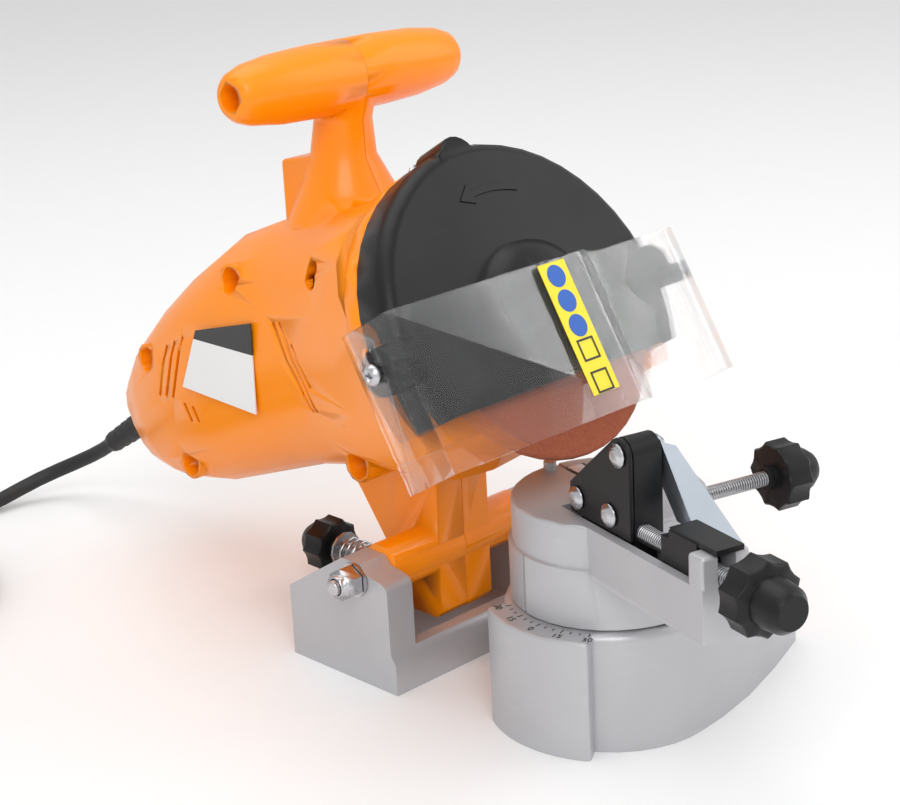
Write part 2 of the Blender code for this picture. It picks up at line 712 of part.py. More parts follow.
def base_casting():
    """Hinge block with two ears, neck, pedestal with the scale, and the sloping toe."""
    ear = [
        (LIP_FRONT_Y, 0.0), (LIP_FRONT_Y, LIP_Z - CAST_EDGE * 3), (EAR_FRONT_Y, LIP_Z),
        (EAR_FRONT_Y, EAR_FRONT_Z - EAR_CORNER), (EAR_FRONT_Y + EAR_CORNER / 3, EAR_FRONT_Z - EAR_CORNER / 3),
        (EAR_FRONT_Y + EAR_CORNER, EAR_FRONT_Z), (EAR_CREST_FRONT_Y, EAR_FRONT_Z + CAST_EDGE),
        (EAR_CREST_FRONT_Y + EAR_CORNER, EAR_TOP_Z), (EAR_CREST_REAR_Y, EAR_TOP_Z),
        (EAR_REAR_Y, EAR_REAR_Z), (EAR_REAR_Y, 0.0),
    ]
    inner = BASE_HALF_W - EAR_T
    body = piece("base_casting", side_prism(ear, -BASE_HALF_W, -inner), CAST, BASE)
    right = tool("right_ear", side_prism(ear, inner, BASE_HALF_W), BASE)
    reach = inner + EAR_T / 2
    lip = tool("front_lip", side_prism([
        (LIP_FRONT_Y, 0.0), (LIP_FRONT_Y, LIP_Z - CAST_EDGE * 3), (EAR_FRONT_Y, LIP_Z),
        (EAR_FRONT_Y + LIP_T, LIP_Z), (EAR_FRONT_Y + LIP_T, 0.0)], -reach, reach), BASE)
    floor = tool("block_floor", box(-reach, reach, EAR_FRONT_Y, EAR_REAR_Y, 0.0, FLOOR_T), BASE)
    wall = tool("rear_wall", box(-reach, reach, EAR_REAR_Y - REAR_WALL_T, EAR_REAR_Y, 0.0, REAR_WALL_Z), BASE)
    drum = tool("pedestal_drum", prism(toe_outline(), -PEDESTAL_EDGE * 2, PEDESTAL_H), BASE)
    soften(drum, PEDESTAL_EDGE)
    scale = tool("scale_sector", fan(PEDESTAL_R - PEDESTAL_WALL / 2, SCALE_R, -PEDESTAL_EDGE * 2,
                                     PEDESTAL_H - CAST_EDGE / 6), BASE)
    soften(scale, CAST_EDGE)
    bench = tool("bench_level", box(-PEDESTAL_R * 2, TOE_TIP_X + OVERRUN, -PEDESTAL_R * 2, PEDESTAL_R * 2,
                                    -OVERRUN * 2, 0.0), BASE)
    neck = tool("neck_web", box(NECK_LEFT_X, NECK_RIGHT_X, 0.0, EAR_FRONT_Y, 0.0, NECK_H), BASE)
    slope = tool("toe_slope", arm_prism([
        (TOE_SLOPE_X, PEDESTAL_H), (TOE_TIP_X + OVERRUN, TOE_TIP_Z), (TOE_TIP_X + OVERRUN, PEDESTAL_H + OVERRUN),
        (TOE_SLOPE_X, PEDESTAL_H + OVERRUN)], -SCALE_R - OVERRUN, SCALE_R + OVERRUN), BASE)
    cut(drum, slope)
    fuse(body, right, lip, floor, wall, neck, drum, scale)
    hollow_r = PEDESTAL_R - PEDESTAL_WALL
    hollow = tool("pedestal_hollow", bar(hollow_r, -OVERRUN, PEDESTAL_H - SWIVEL_TOP_T, ROUND), BASE)
    hole = tool("swivel_hole", bar(SWIVEL_BOLT_R + GAP, -OVERRUN, PEDESTAL_H + OVERRUN, SMALL_ROUND), BASE)
    bolt_hole = tool("hinge_hole", bar(HINGE_BOLT_R + GAP, -BASE_HALF_W - OVERRUN, BASE_HALF_W + OVERRUN),
                     HINGE, along((1.0, 0.0, 0.0)))
    depth_hole = tool("depth_hole", bar(DEPTH_ROD_R + GAP, EAR_REAR_Y - REAR_WALL_T - OVERRUN / 2,
                                        EAR_REAR_Y + OVERRUN / 2), BASE, along((0.0, 1.0, 0.0), z=DEPTH_Z))
    cut(body, bench, hollow, hole, bolt_hole, depth_hole)
    return body


def hinge_hardware():
    """Bolt, washers and lock nut of the tilt hinge."""
    side = along((1.0, 0.0, 0.0))
    left = -BASE_HALF_W - GAP
    nut_face = left - HINGE_WASHER_T - GAP
    bolt = piece("hinge_bolt", rod(HINGE_BOLT_R, nut_face - HINGE_NUT_H - HINGE_COLLAR_H - BOLT_END,
                                   BASE_HALF_W + HINGE_WASHER_T + GAP * 3), STEEL, HINGE, side)
    head = tool("bolt_head", prism(hexagon(HINGE_NUT_AF), BASE_HALF_W + HINGE_WASHER_T + GAP * 2,
                                   BASE_HALF_W + HINGE_WASHER_T + GAP * 2 + HINGE_HEAD_H), HINGE, side)
    fuse(bolt, head)
    nut = piece("hinge_nut", prism(hexagon(HINGE_NUT_AF), nut_face - HINGE_NUT_H, nut_face), STEEL, HINGE, side)
    collar = tool("nut_collar", bar(HINGE_COLLAR_R, nut_face - HINGE_NUT_H - HINGE_COLLAR_H, nut_face), HINGE, side)
    fuse(nut, collar)
    bore = tool("nut_bore", bar(HINGE_BOLT_R + GAP, nut_face - OVERRUN, nut_face + OVERRUN), HINGE, side)
    cut(nut, bore)
    inner = HINGE_BOLT_R + GAP
    piece("hinge_washer_left", washer(HINGE_WASHER_R, inner, left - HINGE_WASHER_T, left, SMALL_ROUND),
          STEEL, HINGE, side)
    piece("hinge_washer_right", washer(HINGE_WASHER_R, inner, -left, HINGE_WASHER_T - left, SMALL_ROUND),
          STEEL, HINGE, side)


def pedestal_hardware():
    """Cover plate, swivel bolt and washer inside the pedestal."""
    piece("pedestal_cover", bar(PEDESTAL_R - PEDESTAL_WALL - GAP, 0.0, COVER_T, ROUND), BLACK, BASE)
    under = PEDESTAL_H - SWIVEL_TOP_T - GAP
    seat = under - SWIVEL_WASHER_T
    bolt = piece("swivel_bolt", turned([
        (SWIVEL_WASHER_R, seat), (SWIVEL_WASHER_R, under), (SWIVEL_BOLT_R, under),
        (SWIVEL_BOLT_R, PEDESTAL_H + TURRET_THREAD_DEPTH)], ROUND - 8), STEEL, VISE)
    fuse(bolt, tool("swivel_head", prism(hexagon(SWIVEL_HEAD_R * 2), seat - SWIVEL_HEAD_H, seat + GAP), VISE))


def vise_casting():
    """Turret with chain slit and jaw pocket, and the channelled arm with its end block."""
    low = PEDESTAL_H + GAP * 2
    body = piece("vise_casting", turned([
        (TURRET_LOW_R, low), (TURRET_LOW_R, TURRET_STEP_Z), (TURRET_R, TURRET_STEP_Z + TURRET_EDGE / 2),
        (TURRET_R, TURRET_TOP - TURRET_EDGE), (TURRET_R - TURRET_EDGE, TURRET_TOP)], ROUND + 8), CAST, VISE)
    arm = tool("arm_block", box(0.0, ARM_FRONT, ARM_LEFT, ARM_RIGHT, ARM_BOTTOM, TURRET_TOP), VISE)
    end = tool("arm_end", box(END_BLOCK_REAR, ARM_FRONT, ARM_LEFT, ARM_RIGHT, ARM_BOTTOM, END_BLOCK_TOP), VISE)
    soften(end, CAST_EDGE)
    fuse(body, arm, end)
    half = (ARM_RIGHT - ARM_LEFT) / 2 - ARM_WALL
    channel = tool("arm_channel", box(CHANNEL_REAR, END_BLOCK_REAR, FEED_Y - half, FEED_Y + half,
                                      CHANNEL_FLOOR, TURRET_TOP + OVERRUN), VISE)
    slot_r = FEED_ROD_R + GAP
    slot = tool("end_slot", prism_along_arm(slot_r), VISE)
    pocket = tool("jaw_pocket", box(POCKET_REAR, POCKET_FRONT, -CHAIN_GAP / 2,
                                    CHAIN_GAP / 2 + JAW_T + JAW_PLAY, POCKET_FLOOR, TURRET_TOP + OVERRUN), VISE)
    slit = tool("chain_slit", box(SLIT_REAR, SLIT_FRONT, -CHAIN_GAP / 2, CHAIN_GAP / 2, SLIT_FLOOR,
                                  TURRET_TOP + OVERRUN), VISE)
    clamp_hole = tool("clamp_hole", bar(CLAMP_ROD_R + GAP, 0.0, TURRET_LOW_R + OVERRUN), VISE,
                      along((0.0, 1.0, 0.0), CLAMP_X, 0.0, CLAMP_Z))
    bolt_hole = tool("turret_bore", bar(SWIVEL_BOLT_R + GAP, 0.0, PEDESTAL_H + TURRET_THREAD_DEPTH + GAP * 2), VISE)
    pointer = tool("pointer_groove", box(TURRET_LOW_R - POINTER_D, TURRET_LOW_R + OVERRUN, -POINTER_W / 2,
                                         POINTER_W / 2, low - OVERRUN, TURRET_STEP_Z), VISE,
                   Matrix.Rotation(POINTER_ANGLE, 4, "Z"))
    post = tool("guide_post", bar(GUIDE_POST_R, TURRET_TOP - GUIDE_POST_H, TURRET_TOP + GUIDE_POST_H, SMALL_ROUND),
                VISE, shift(GUIDE_POST_X, GUIDE_POST_Y))
    fuse(body, post)
    cut(body, channel, slot, pocket, slit, clamp_hole, bolt_hole, pointer)
    return body


def prism_along_arm(radius):
    """The round-bottomed slot of the end block, raised along the arm."""
    outline = [(FEED_Y + radius, END_BLOCK_TOP + OVERRUN), (FEED_Y - radius, END_BLOCK_TOP + OVERRUN)]
    outline += arc(radius, math.pi, TAU, 8, FEED_Y, FEED_Z)
    return loft([[(END_BLOCK_REAR - OVERRUN, y, z) for y, z in outline],
                 [(ARM_FRONT + OVERRUN, y, z) for y, z in outline]])


def clamp_group():
    """Moving jaw, and the clamp screw with its knob."""
    low = CHAIN_GAP / 2
    jaw = piece("clamp_jaw", box(POCKET_REAR + GAP, POCKET_FRONT - GAP, low, low + JAW_T, POCKET_FLOOR + GAP,
                                 TURRET_TOP), STEEL, VISE)
    side = along((0.0, 1.0, 0.0), CLAMP_X, 0.0, CLAMP_Z)
    screw = piece("clamp_screw", rod(CLAMP_ROD_R, low + JAW_T + GAP, CLAMP_KNOB_Y + KNOB_RIM_L), STEEL, VISE, side)
    grip = piece("clamp_knob", knob(CLAMP_HUB_END - CLAMP_KNOB_Y), BLACK, VISE,
                 along((0.0, 1.0, 0.0), CLAMP_X, CLAMP_KNOB_Y, CLAMP_Z))
    bore = tool("clamp_knob_bore", bar(CLAMP_ROD_R + GAP, -OVERRUN, KNOB_RIM_L + GAP), VISE,
                along((0.0, 1.0, 0.0), CLAMP_X, CLAMP_KNOB_Y, CLAMP_Z))
    cut(grip, bore)
    return jaw, screw


def feed_group():
    """Feed screw, its knob and the bracket that holds it behind the end block."""
    axis = (1.0, 0.0, 0.0)
    piece("feed_screw", rod(FEED_ROD_R, FOOT_REAR + CAST_EDGE, FEED_KNOB_X + KNOB_RIM_L), STEEL, VISE,
          along(axis, 0.0, FEED_Y, FEED_Z))
    place = along(axis, FEED_KNOB_X, FEED_Y, FEED_Z)
    grip = piece("feed_knob", knob(FEED_HUB_END - FEED_KNOB_X), BLACK, VISE, place)
    cut(grip, tool("feed_knob_bore", bar(FEED_ROD_R + GAP, -OVERRUN, KNOB_RIM_L + GAP), VISE, place))
    half = (ARM_RIGHT - ARM_LEFT) / 2 - ARM_WALL - GAP
    bracket = piece("screw_bracket", box(BRACKET_REAR, END_BLOCK_REAR - GAP, FEED_Y - half, FEED_Y + half,
                                         CHANNEL_FLOOR + GAP, BRACKET_TOP), BLACK, VISE)
    cap_low = END_BLOCK_TOP + GAP
    cap = tool("bracket_cap", box(CAP_REAR, CAP_FRONT, CAP_LEFT, CAP_RIGHT, cap_low, cap_low + CAP_T), VISE)
    rise = tool("bracket_rise", box(CAP_REAR, END_BLOCK_REAR - GAP, FEED_Y - half, CAP_RIGHT, BRACKET_TOP - CAP_T,
                                    cap_low + CAP_T / 2), VISE)
    fuse(bracket, rise, cap)
    cut(bracket, tool("bracket_bore", bar(FEED_ROD_R + GAP, 0.0, ARM_FRONT), VISE, along(axis, 0.0, FEED_Y, FEED_Z)))


def carriage_group():
    """The chain stop carriage: block, cheek plate, screws, pivot pin and the folded stop lever."""
    rear = CARRIAGE_REAR
    top_x = CARRIAGE_FRONT - CARRIAGE_TOP_R
    top_z = CARRIAGE_TOP_Z - CARRIAGE_TOP_R
    outline = [(rear, CARRIAGE_BOTTOM), (CARRIAGE_FRONT, CARRIAGE_BOTTOM)]
    outline += arc(CARRIAGE_TOP_R, 0.0, math.radians(130.0), 6, top_x, top_z)
    outline += [(rear, CARRIAGE_SHOULDER_Z)]
    split = CARRIAGE_LEFT + CHEEK_T
    block = piece("carriage_block", arm_prism(outline, split + GAP, CARRIAGE_RIGHT), BLACK, VISE)
    half = (ARM_RIGHT - ARM_LEFT) / 2 - ARM_WALL - GAP
    foot = tool("carriage_foot", box(FOOT_REAR, FOOT_FRONT, split + GAP * 2, FEED_Y + half, FOOT_BOTTOM,
                                     CARRIAGE_BOTTOM + CHEEK_T), VISE)
    fuse(block, foot)
    cut(block, tool("carriage_bore", bar(FEED_ROD_R + GAP, 0.0, ARM_FRONT), VISE,
                    along((1.0, 0.0, 0.0), 0.0, FEED_Y, FEED_Z)))
    piece("carriage_cheek", arm_prism(outline, CARRIAGE_LEFT, split), BLACK, VISE)
    screws = ((top_x, top_z), (rear + KNOB_COLLAR_R, CARRIAGE_SHOULDER_Z - KNOB_COLLAR_R),
              (CARRIAGE_FRONT - CARRIAGE_TOP_R * 2, CARRIAGE_SHOULDER_Z - KNOB_COLLAR_R))
    for index, (x, z) in enumerate(screws):
        start = -CARRIAGE_LEFT + GAP
        part = turned([(CHEEK_WASHER_R, start), (CHEEK_WASHER_R, start + CHEEK_WASHER_T),
                       (CHEEK_SCREW_R, start + CHEEK_WASHER_T), (CHEEK_SCREW_R * 0.95, start + CHEEK_SCREW_H * 0.75),
                       (CHEEK_SCREW_R * 0.6, start + CHEEK_SCREW_H)], SMALL_ROUND)
        piece(f"cheek_screw_{index + 1}", part, STEEL, VISE, along((0.0, -1.0, 0.0), x, 0.0, z))
    side = along((0.0, 1.0, 0.0), top_x, 0.0, top_z)
    start = CARRIAGE_RIGHT - PIVOT_DEPTH
    pin = piece("lever_pin", rod(PIVOT_R, start, LEVER_PLANE + LEVER_T + GAP * 2), STEEL, VISE, side)
    fuse(pin, tool("pin_head", bar(PIVOT_HEAD_R, LEVER_PLANE + LEVER_T + GAP,
                                   LEVER_PLANE + LEVER_T + GAP + PIVOT_HEAD_T), VISE, side))
    cut(block, tool("pin_bore", bar(PIVOT_R + GAP, start - GAP, OVERRUN), VISE, side))
    lever(top_x, top_z, side)


def lever(pivot_x, pivot_z, side):
    """The stop lever: a plate beside the block and a ramp folded out over the chain."""
    fold_dir = (math.cos(LEVER_SLOPE), -math.sin(LEVER_SLOPE))
    eye = PIVOT_HEAD_R + LEVER_T
    plate_outline = arc(eye, math.radians(36.0), math.radians(210.0), 8, pivot_x, pivot_z)
    fold_end = (pivot_x + eye * math.cos(math.radians(36.0)) + LEVER_LENGTH * fold_dir[0],
                pivot_z + eye * math.sin(math.radians(36.0)) + LEVER_LENGTH * fold_dir[1])
    plate_outline += [(fold_end[0] - eye * 2, fold_end[1]), fold_end]
    plate = piece("stop_lever", arm_prism(plate_outline, LEVER_PLANE, LEVER_PLANE + LEVER_T), ZINC, VISE)
    fold_start = (pivot_x + eye * math.cos(math.radians(36.0)), pivot_z + eye * math.sin(math.radians(36.0)))
    ramp = prism([(0.0, LEVER_PLANE), (LEVER_T * 2, LEVER_PLANE + LEVER_T * 4),
                  (LEVER_FLANGE_L, LEVER_PLANE + LEVER_FLANGE_W), (LEVER_FLANGE_L, LEVER_PLANE + LEVER_FLANGE_W / 2),
                  (LEVER_LENGTH, LEVER_PLANE)], -LEVER_T / 2, LEVER_T / 2)
    turn = Matrix(((fold_dir[0], 0.0, -fold_dir[1], fold_start[0]), (0.0, 1.0, 0.0, 0.0),
                   (fold_dir[1], 0.0, fold_dir[0], fold_start[1]), (0.0, 0.0, 0.0, 1.0)))
    fuse(plate, tool("lever_ramp", ramp, VISE, turn))
    cut(plate, tool("lever_eye", bar(PIVOT_R + GAP, -OVERRUN, OVERRUN), VISE, side))


def depth_group():
    """Depth stop screw through the rear wall, with nut, spring, washer and knob."""
    axis = (0.0, 1.0, 0.0)
    piece("depth_screw", rod(DEPTH_ROD_R, DEPTH_TIP_Y, DEPTH_KNOB_Y + KNOB_RIM_L), STEEL, BASE,
          along(axis, z=DEPTH_Z))
    place = along(axis, 0.0, DEPTH_KNOB_Y, DEPTH_Z)
    grip = piece("depth_knob", knob(DEPTH_HUB_END - DEPTH_KNOB_Y, DEPTH_KNOB_R), BLACK, BASE, place)
    cut(grip, tool("depth_knob_bore", bar(DEPTH_ROD_R + GAP, -OVERRUN, KNOB_RIM_L + GAP), BASE, place))
    outer_y = EAR_REAR_Y + GAP
    washer_y = DEPTH_KNOB_Y - KNOB_COLLAR_L - GAP
    piece("depth_washer", washer(DEPTH_SPRING_R + DEPTH_WASHER_T * 1.5, DEPTH_ROD_R + GAP, washer_y - DEPTH_WASHER_T,
                                 washer_y, SMALL_ROUND), STEEL, BASE, along(axis, z=DEPTH_Z))
    start = outer_y + DEPTH_SPRING_WIRE_R
    end = washer_y - DEPTH_WASHER_T - GAP - DEPTH_SPRING_WIRE_R
    points = []
    steps = DEPTH_SPRING_TURNS * 9
    for index in range(steps + 1):
        share = index / steps
        angle = TAU * DEPTH_SPRING_TURNS * share
        points.append((DEPTH_SPRING_R * math.cos(angle), start + (end - start) * share,
                       DEPTH_Z + DEPTH_SPRING_R * math.sin(angle)))
    tube("depth_spring", points, DEPTH_SPRING_WIRE_R, STEEL, 1)


def blend(first, second, share):
    """A station between two barrel stations."""
    return tuple(a + (b - a) * share for a, b in zip(first, second))


def barrel_ring(station, inset=0.0):
    """One closed section of the barrel, set in from the outer skin."""
    half_w, low_y, low_z, high_y, high_z = station
    low = Vector((0.0, low_y, low_z))
    high = Vector((0.0, high_y, high_z))
    centre = (low + high) / 2
    rise = (high - low).normalized()
    half_h = (high - low).length / 2 - inset
    points = []
    for index in range(BARREL_SIDES):
        angle = TAU * index / BARREL_SIDES
        across = math.copysign(abs(math.cos(angle)) ** (2 / BARREL_SQUARENESS), math.cos(angle))
        upward = math.copysign(abs(math.sin(angle)) ** (2 / BARREL_SQUARENESS), math.sin(angle))
        points.append(Vector((across * (half_w - inset), 0.0, 0.0)) + centre + rise * half_h * upward)
    return points


def motor_box(x0, x1, low, high, start, end):
    """A block in the motor's frame, where start and end count backwards from the wheel."""
    return box(x0, x1, low, high, -end, -start)


def shell_lumps():
    """The solid lumps that the housing halves are cut from, beside the barrel."""
    leg = tool("leg_lump", side_prism([
        (LEG_FRONT_Y, LEG_BOTTOM_Z), (LEG_FRONT_Y, LEG_TOP_Z), (LEG_HIP_Y, LEG_TOP_Z + EAR_CORNER),
        (LEG_HIP_Y, LEG_HIP_Z), (LEG_WAIST_Y, LEG_WAIST_Z), (LEG_REAR_Y, LEG_HEEL_Z),
        (LEG_FRONT_Y + EAR_CORNER, LEG_HEEL_Z)], -LEG_HALF_W, LEG_HALF_W), HEAD)
    reach = BASE_HALF_W - EAR_T - GAP
    boss = tool("hinge_boss", bar(BOSS_R, -reach, reach, ROUND), HINGE, along((1.0, 0.0, 0.0)))
    collar = tool("collar_disc", turned([
        (COLLAR_R - GUARD_EDGE, COLLAR_BACK), (COLLAR_R, COLLAR_BACK + GUARD_EDGE), (COLLAR_R, COLLAR_FRONT)],
        FINE_ROUND), MOTOR)
    below = tool("collar_cut", box(-COLLAR_R * 2, COLLAR_R * 2, -COLLAR_R * 2, COLLAR_CUT, COLLAR_BACK - GAP,
                                   COLLAR_FRONT + OVERRUN), MOTOR)
    cut(collar, below)
    neck = tool("neck_lump", loft([circle(radius, z, ROUND - 8, 0.0, y) for radius, y, z in NECK_STATIONS]), HEAD)
    side = along((1.0, 0.0, 0.0), 0.0, HANDLE_Y, HANDLE_Z)
    half = [(HANDLE_R * radius, HANDLE_HALF_L * share) for radius, share in HANDLE_TAPER]
    profile = [(radius, -x) for radius, x in reversed(half)] + half
    handle = tool("handle_lump", turned(profile, ROUND - 8), HEAD, side)
    low, high = SWITCH_Z - SWITCH_H / 2 - SWITCH_RIM, SWITCH_Z + SWITCH_H / 2 + SWITCH_RIM
    rim = tool("switch_rim", side_prism([
        (HANDLE_Y, low - SWITCH_RIM * 2), (SWITCH_OUT_Y - GAP, low), (SWITCH_OUT_Y - GAP, high),
        (HANDLE_Y, high + SWITCH_RIM * 2)], -SWITCH_HALF_W - SWITCH_RIM, SWITCH_HALF_W + SWITCH_RIM), HEAD)
    soften(rim, CAST_EDGE)
    return [leg, boss, collar, neck, handle, rim]


def shell_cuts():
    """The spaces that both housing halves leave free."""
    second, third, fourth = BARREL_STATIONS[1:4]
    front = [blend(BARREL_STATIONS[0], second, FRONT_WALL_SHARE), second, third,
             blend(third, fourth, BRIDGE_START_SHARE)]
    rear = [blend(third, fourth, BRIDGE_END_SHARE), *BARREL_STATIONS[3:-1],
            blend(BARREL_STATIONS[-2], BARREL_STATIONS[-1], REAR_WALL_SHARE)]
    spaces = []
    for name, stations in (("front_space", front), ("rear_space", rear)):
        spaces.append(tool(name, loft([barrel_ring(station, SHELL_WALL) for station in stations]), HEAD))
    shaft_hole = tool("shaft_hole", bar(SHAFT_R * 1.5, -SHAFT_BACK - OVERRUN, OVERRUN), MOTOR)
    front_seat = tool("front_seat", bar(BEARING_R + GAP, -FRONT_BEARING_START - BEARING_T * 3, -FRONT_BEARING_START,
                                        ROUND - 8), MOTOR)
    rear_seat = tool("rear_seat", bar(BEARING_R + GAP, -REAR_BEARING_START - BEARING_T, GAP - STATOR_START * 2,
                                      ROUND - 8), MOTOR)
    across = along((1.0, 0.0, 0.0))
    bolt = tool("leg_bolt_hole", bar(HINGE_BOLT_R + GAP, -BASE_HALF_W, BASE_HALF_W), HINGE, across)
    pocket = tool("switch_pocket", box(-SWITCH_HALF_W - GAP, SWITCH_HALF_W + GAP, SWITCH_IN_Y - GAP,
                                       SWITCH_OUT_Y + OVERRUN, SWITCH_Z - SWITCH_H / 2 - GAP,
                                       SWITCH_Z + SWITCH_H / 2 + GAP), HEAD)
    root = tool("boot_seat", bar(BOOT_ROOT_R + GAP, -BOOT_ROOT_L - OVERRUN, OVERRUN), HEAD, boot_place())
    return spaces + [shaft_hole, front_seat, rear_seat, bolt, pocket, root]


def guard_screw_ways(index):
    """The hole and the head's pocket behind one of the guard's ears."""
    place = shift(*GUARD_SCREWS[index])
    way = tool(f"guard_screw_way_{index}", bar(VISOR_SCREW_R + GAP, COLLAR_BACK, OVERRUN), MOTOR, place)
    pocket = tool(f"guard_screw_pocket_{index}", bar(VISOR_HEAD_R + GAP * 2, COLLAR_BACK - OVERRUN,
                                                     GUARD_SCREW_SEAT), MOTOR, place)
    return [way, pocket]


def boot_place():
    """Where the cord boot leaves the housing, with local +Z down the boot."""
    axis = (0.0, math.cos(BOOT_TILT), math.sin(BOOT_TILT))
    return along(axis, 0.0, BOOT_START_Y, BOOT_START_Z)


def screw_places():
    """Every housing screw as (y, z, well floor x, post end x), with no post in the solid handle."""
    places = [(y, z, WELL_FLOOR_X, end) for y, z, end in BODY_WELLS]
    places.append((HANDLE_Y, HANDLE_Z, HANDLE_WELL_FLOOR_X, 0.0))
    return places


def vent_slots(left, right):
    """The slanted vent slots through one side wall."""
    mesh = bmesh.new()
    for top_y, top_z, low_y, low_z in VENTS:
        length = math.hypot(low_y - top_y, low_z - top_z)
        off_y = (top_z - low_z) / length * VENT_W / 2
        off_z = (low_y - top_y) / length * VENT_W / 2
        gather(mesh, side_prism([(top_y - off_y, top_z - off_z), (top_y + off_y, top_z + off_z),
                                 (low_y + off_y, low_z + off_z), (low_y - off_y, low_z - off_z)], left, right))
    return mesh


def housing():
    """The two orange halves, their screws, and the plate on the left one."""
    lumps = shell_lumps()
    cuts = shell_cuts()
    reach = HANDLE_HALF_L * 2
    tall = HANDLE_Z * 2
    for name, side in (("left_housing_shell", -1), ("right_housing_shell", 1)):
        shell = piece(name, loft([barrel_ring(station) for station in BARREL_STATIONS]), ORANGE, HEAD)
        fuse(shell, *lumps)
        other = sorted((side * SEAM, -side * reach))
        cut(shell, tool(f"{name}_half", box(*other, -tall, tall, -OVERRUN, tall), HEAD), *cuts)
        cut(shell, *guard_screw_ways(0 if side < 0 else 1))
        rib_x = sorted((side * STATOR_R / 2, side * STATOR_RIB_REACH))
        fuse(shell, tool(f"{name}_rib", motor_box(*rib_x, -STATOR_RIB_HALF_H, STATOR_RIB_HALF_H, STATOR_RIB_START,
                                                  STATOR_RIB_END), MOTOR))
        places = [along((1.0, 0.0, 0.0), 0.0, y, z) for y, z, _, _ in screw_places()]
        for index, (_, _, _, end) in enumerate(screw_places()):
            if end:
                post_x = sorted((side * SEAM * 2, side * end))
                fuse(shell, tool(f"{name}_post_{index}", bar(SCREW_POST_R, *post_x), HEAD, places[index]))
        cut(shell, tool(f"{name}_stator_seat", bar(STATOR_R + GAP, -STATOR_START - STATOR_L - GAP,
                                                   GAP - STATOR_START, ROUND), MOTOR))
        for index, (_, _, floor, _) in enumerate(screw_places()):
            if side < 0:
                cut(shell, tool(f"screw_well_{index}", bar(WELL_R, -reach, -floor), HEAD, places[index]))
                cut(shell, tool(f"screw_way_{index}", bar(HOUSING_SCREW_R + GAP, -floor - GAP, OVERRUN), HEAD,
                                places[index]))
            else:
                cut(shell, tool(f"screw_bore_{index}", bar(HOUSING_SCREW_R + GAP, -OVERRUN, SCREW_REACH + GAP),
                                HEAD, places[index]))
        cut(shell, tool(f"{name}_vents", vent_slots(*sorted((side * reach, side * (STATOR_R + GAP)))), HEAD))
    for index, (y, z, floor, _) in enumerate(screw_places()):
        head = -floor - GAP
        part = turned([(HOUSING_SCREW_HEAD_R * 0.8, head - HOUSING_SCREW_HEAD_H), (HOUSING_SCREW_HEAD_R, head - GAP),
                       (HOUSING_SCREW_HEAD_R, head), (HOUSING_SCREW_R, head), (HOUSING_SCREW_R, SCREW_REACH)],
                      SMALL_ROUND)
        piece(f"housing_screw_{index + 1}", part, STEEL, HEAD, along((1.0, 0.0, 0.0), 0.0, y, z))
    outer = -max(BARREL_STATIONS[2][0], BARREL_STATIONS[4][0]) - GAP
    plate = piece("rating_plate", side_prism(PLATE_OUTLINE, outer - PLATE_T, outer), WHITE, HEAD)
    return plate


def motor():
    """Stator, bearings, brush holders, armature and fan on the wheel's axis."""
    end = -STATOR_START
    stator = piece("stator", turned([(STATOR_R, end - STATOR_L), (STATOR_R, end)], ROUND), STEEL, MOTOR)
    cut(stator, tool("stator_bore", bar(STATOR_BORE_R, end - STATOR_L - OVERRUN, end + OVERRUN, ROUND - 8), MOTOR))
    for name, start in (("front_bearing", FRONT_BEARING_START), ("rear_bearing", REAR_BEARING_START)):
        low = -start - BEARING_T + GAP
        piece(name, washer(BEARING_R, SHAFT_R + GAP, low, -start - GAP, ROUND - 8), STEEL, MOTOR)
    yoke = piece("brush_yoke", motor_box(-BRUSH_REACH, BRUSH_REACH, -BRUSH_W / 2, BRUSH_W / 2,
                                         COMMUTATOR_START + GAP * 2, COMMUTATOR_START + COMMUTATOR_L - GAP * 2),
                 COPPER, MOTOR)
    back = -COMMUTATOR_START - COMMUTATOR_L
    fuse(yoke, tool("yoke_ring", bar(COMMUTATOR_R + BRUSH_W / 2, back + GAP * 3, -COMMUTATOR_START - GAP * 3,
                                     ROUND - 8), MOTOR))
    cut(yoke, tool("yoke_bore", bar(COMMUTATOR_R + GAP * 2, back - OVERRUN, OVERRUN, ROUND - 8), MOTOR))
    nose = WHEEL_T / 2 + FLANGE_T + NUT_H + BOLT_END
    rotor = -STATOR_START - GAP
    profile = [
        (SHAFT_R, -SHAFT_BACK), (SHAFT_R, -COMMUTATOR_START - COMMUTATOR_L),
        (COMMUTATOR_R, -COMMUTATOR_START - COMMUTATOR_L), (COMMUTATOR_R, -COMMUTATOR_START),
        (SHAFT_R, -COMMUTATOR_START), (SHAFT_R, rotor - STATOR_L), (ROTOR_R, rotor - STATOR_L),
        (ROTOR_R, rotor), (SHAFT_R, rotor), (SHAFT_R, nose)]
    piece("armature", turned(profile, ROUND - 8), COPPER, MOTOR)
    back = -FAN_START - FAN_T
    blower = piece("cooling_fan", bar(FAN_HUB_R, back, -FAN_START, ROUND - 8), BLACK, MOTOR)
    disc = tool("fan_disc", bar(FAN_R, back, back + FAN_T / 5, ROUND), MOTOR)
    fuse(blower, disc)
    for index in range(FAN_BLADES):
        blade = box(FAN_HUB_R - GAP, FAN_R - GAP * 2, -GAP * 2, GAP * 2, back + GAP, -FAN_START - GAP)
        turn = Matrix.Rotation(TAU * index / FAN_BLADES, 4, "Z")
        fuse(blower, tool(f"fan_blade_{index}", blade, MOTOR, turn))
    cut(blower, tool("fan_bore", bar(SHAFT_R + GAP, back - OVERRUN, OVERRUN), MOTOR))


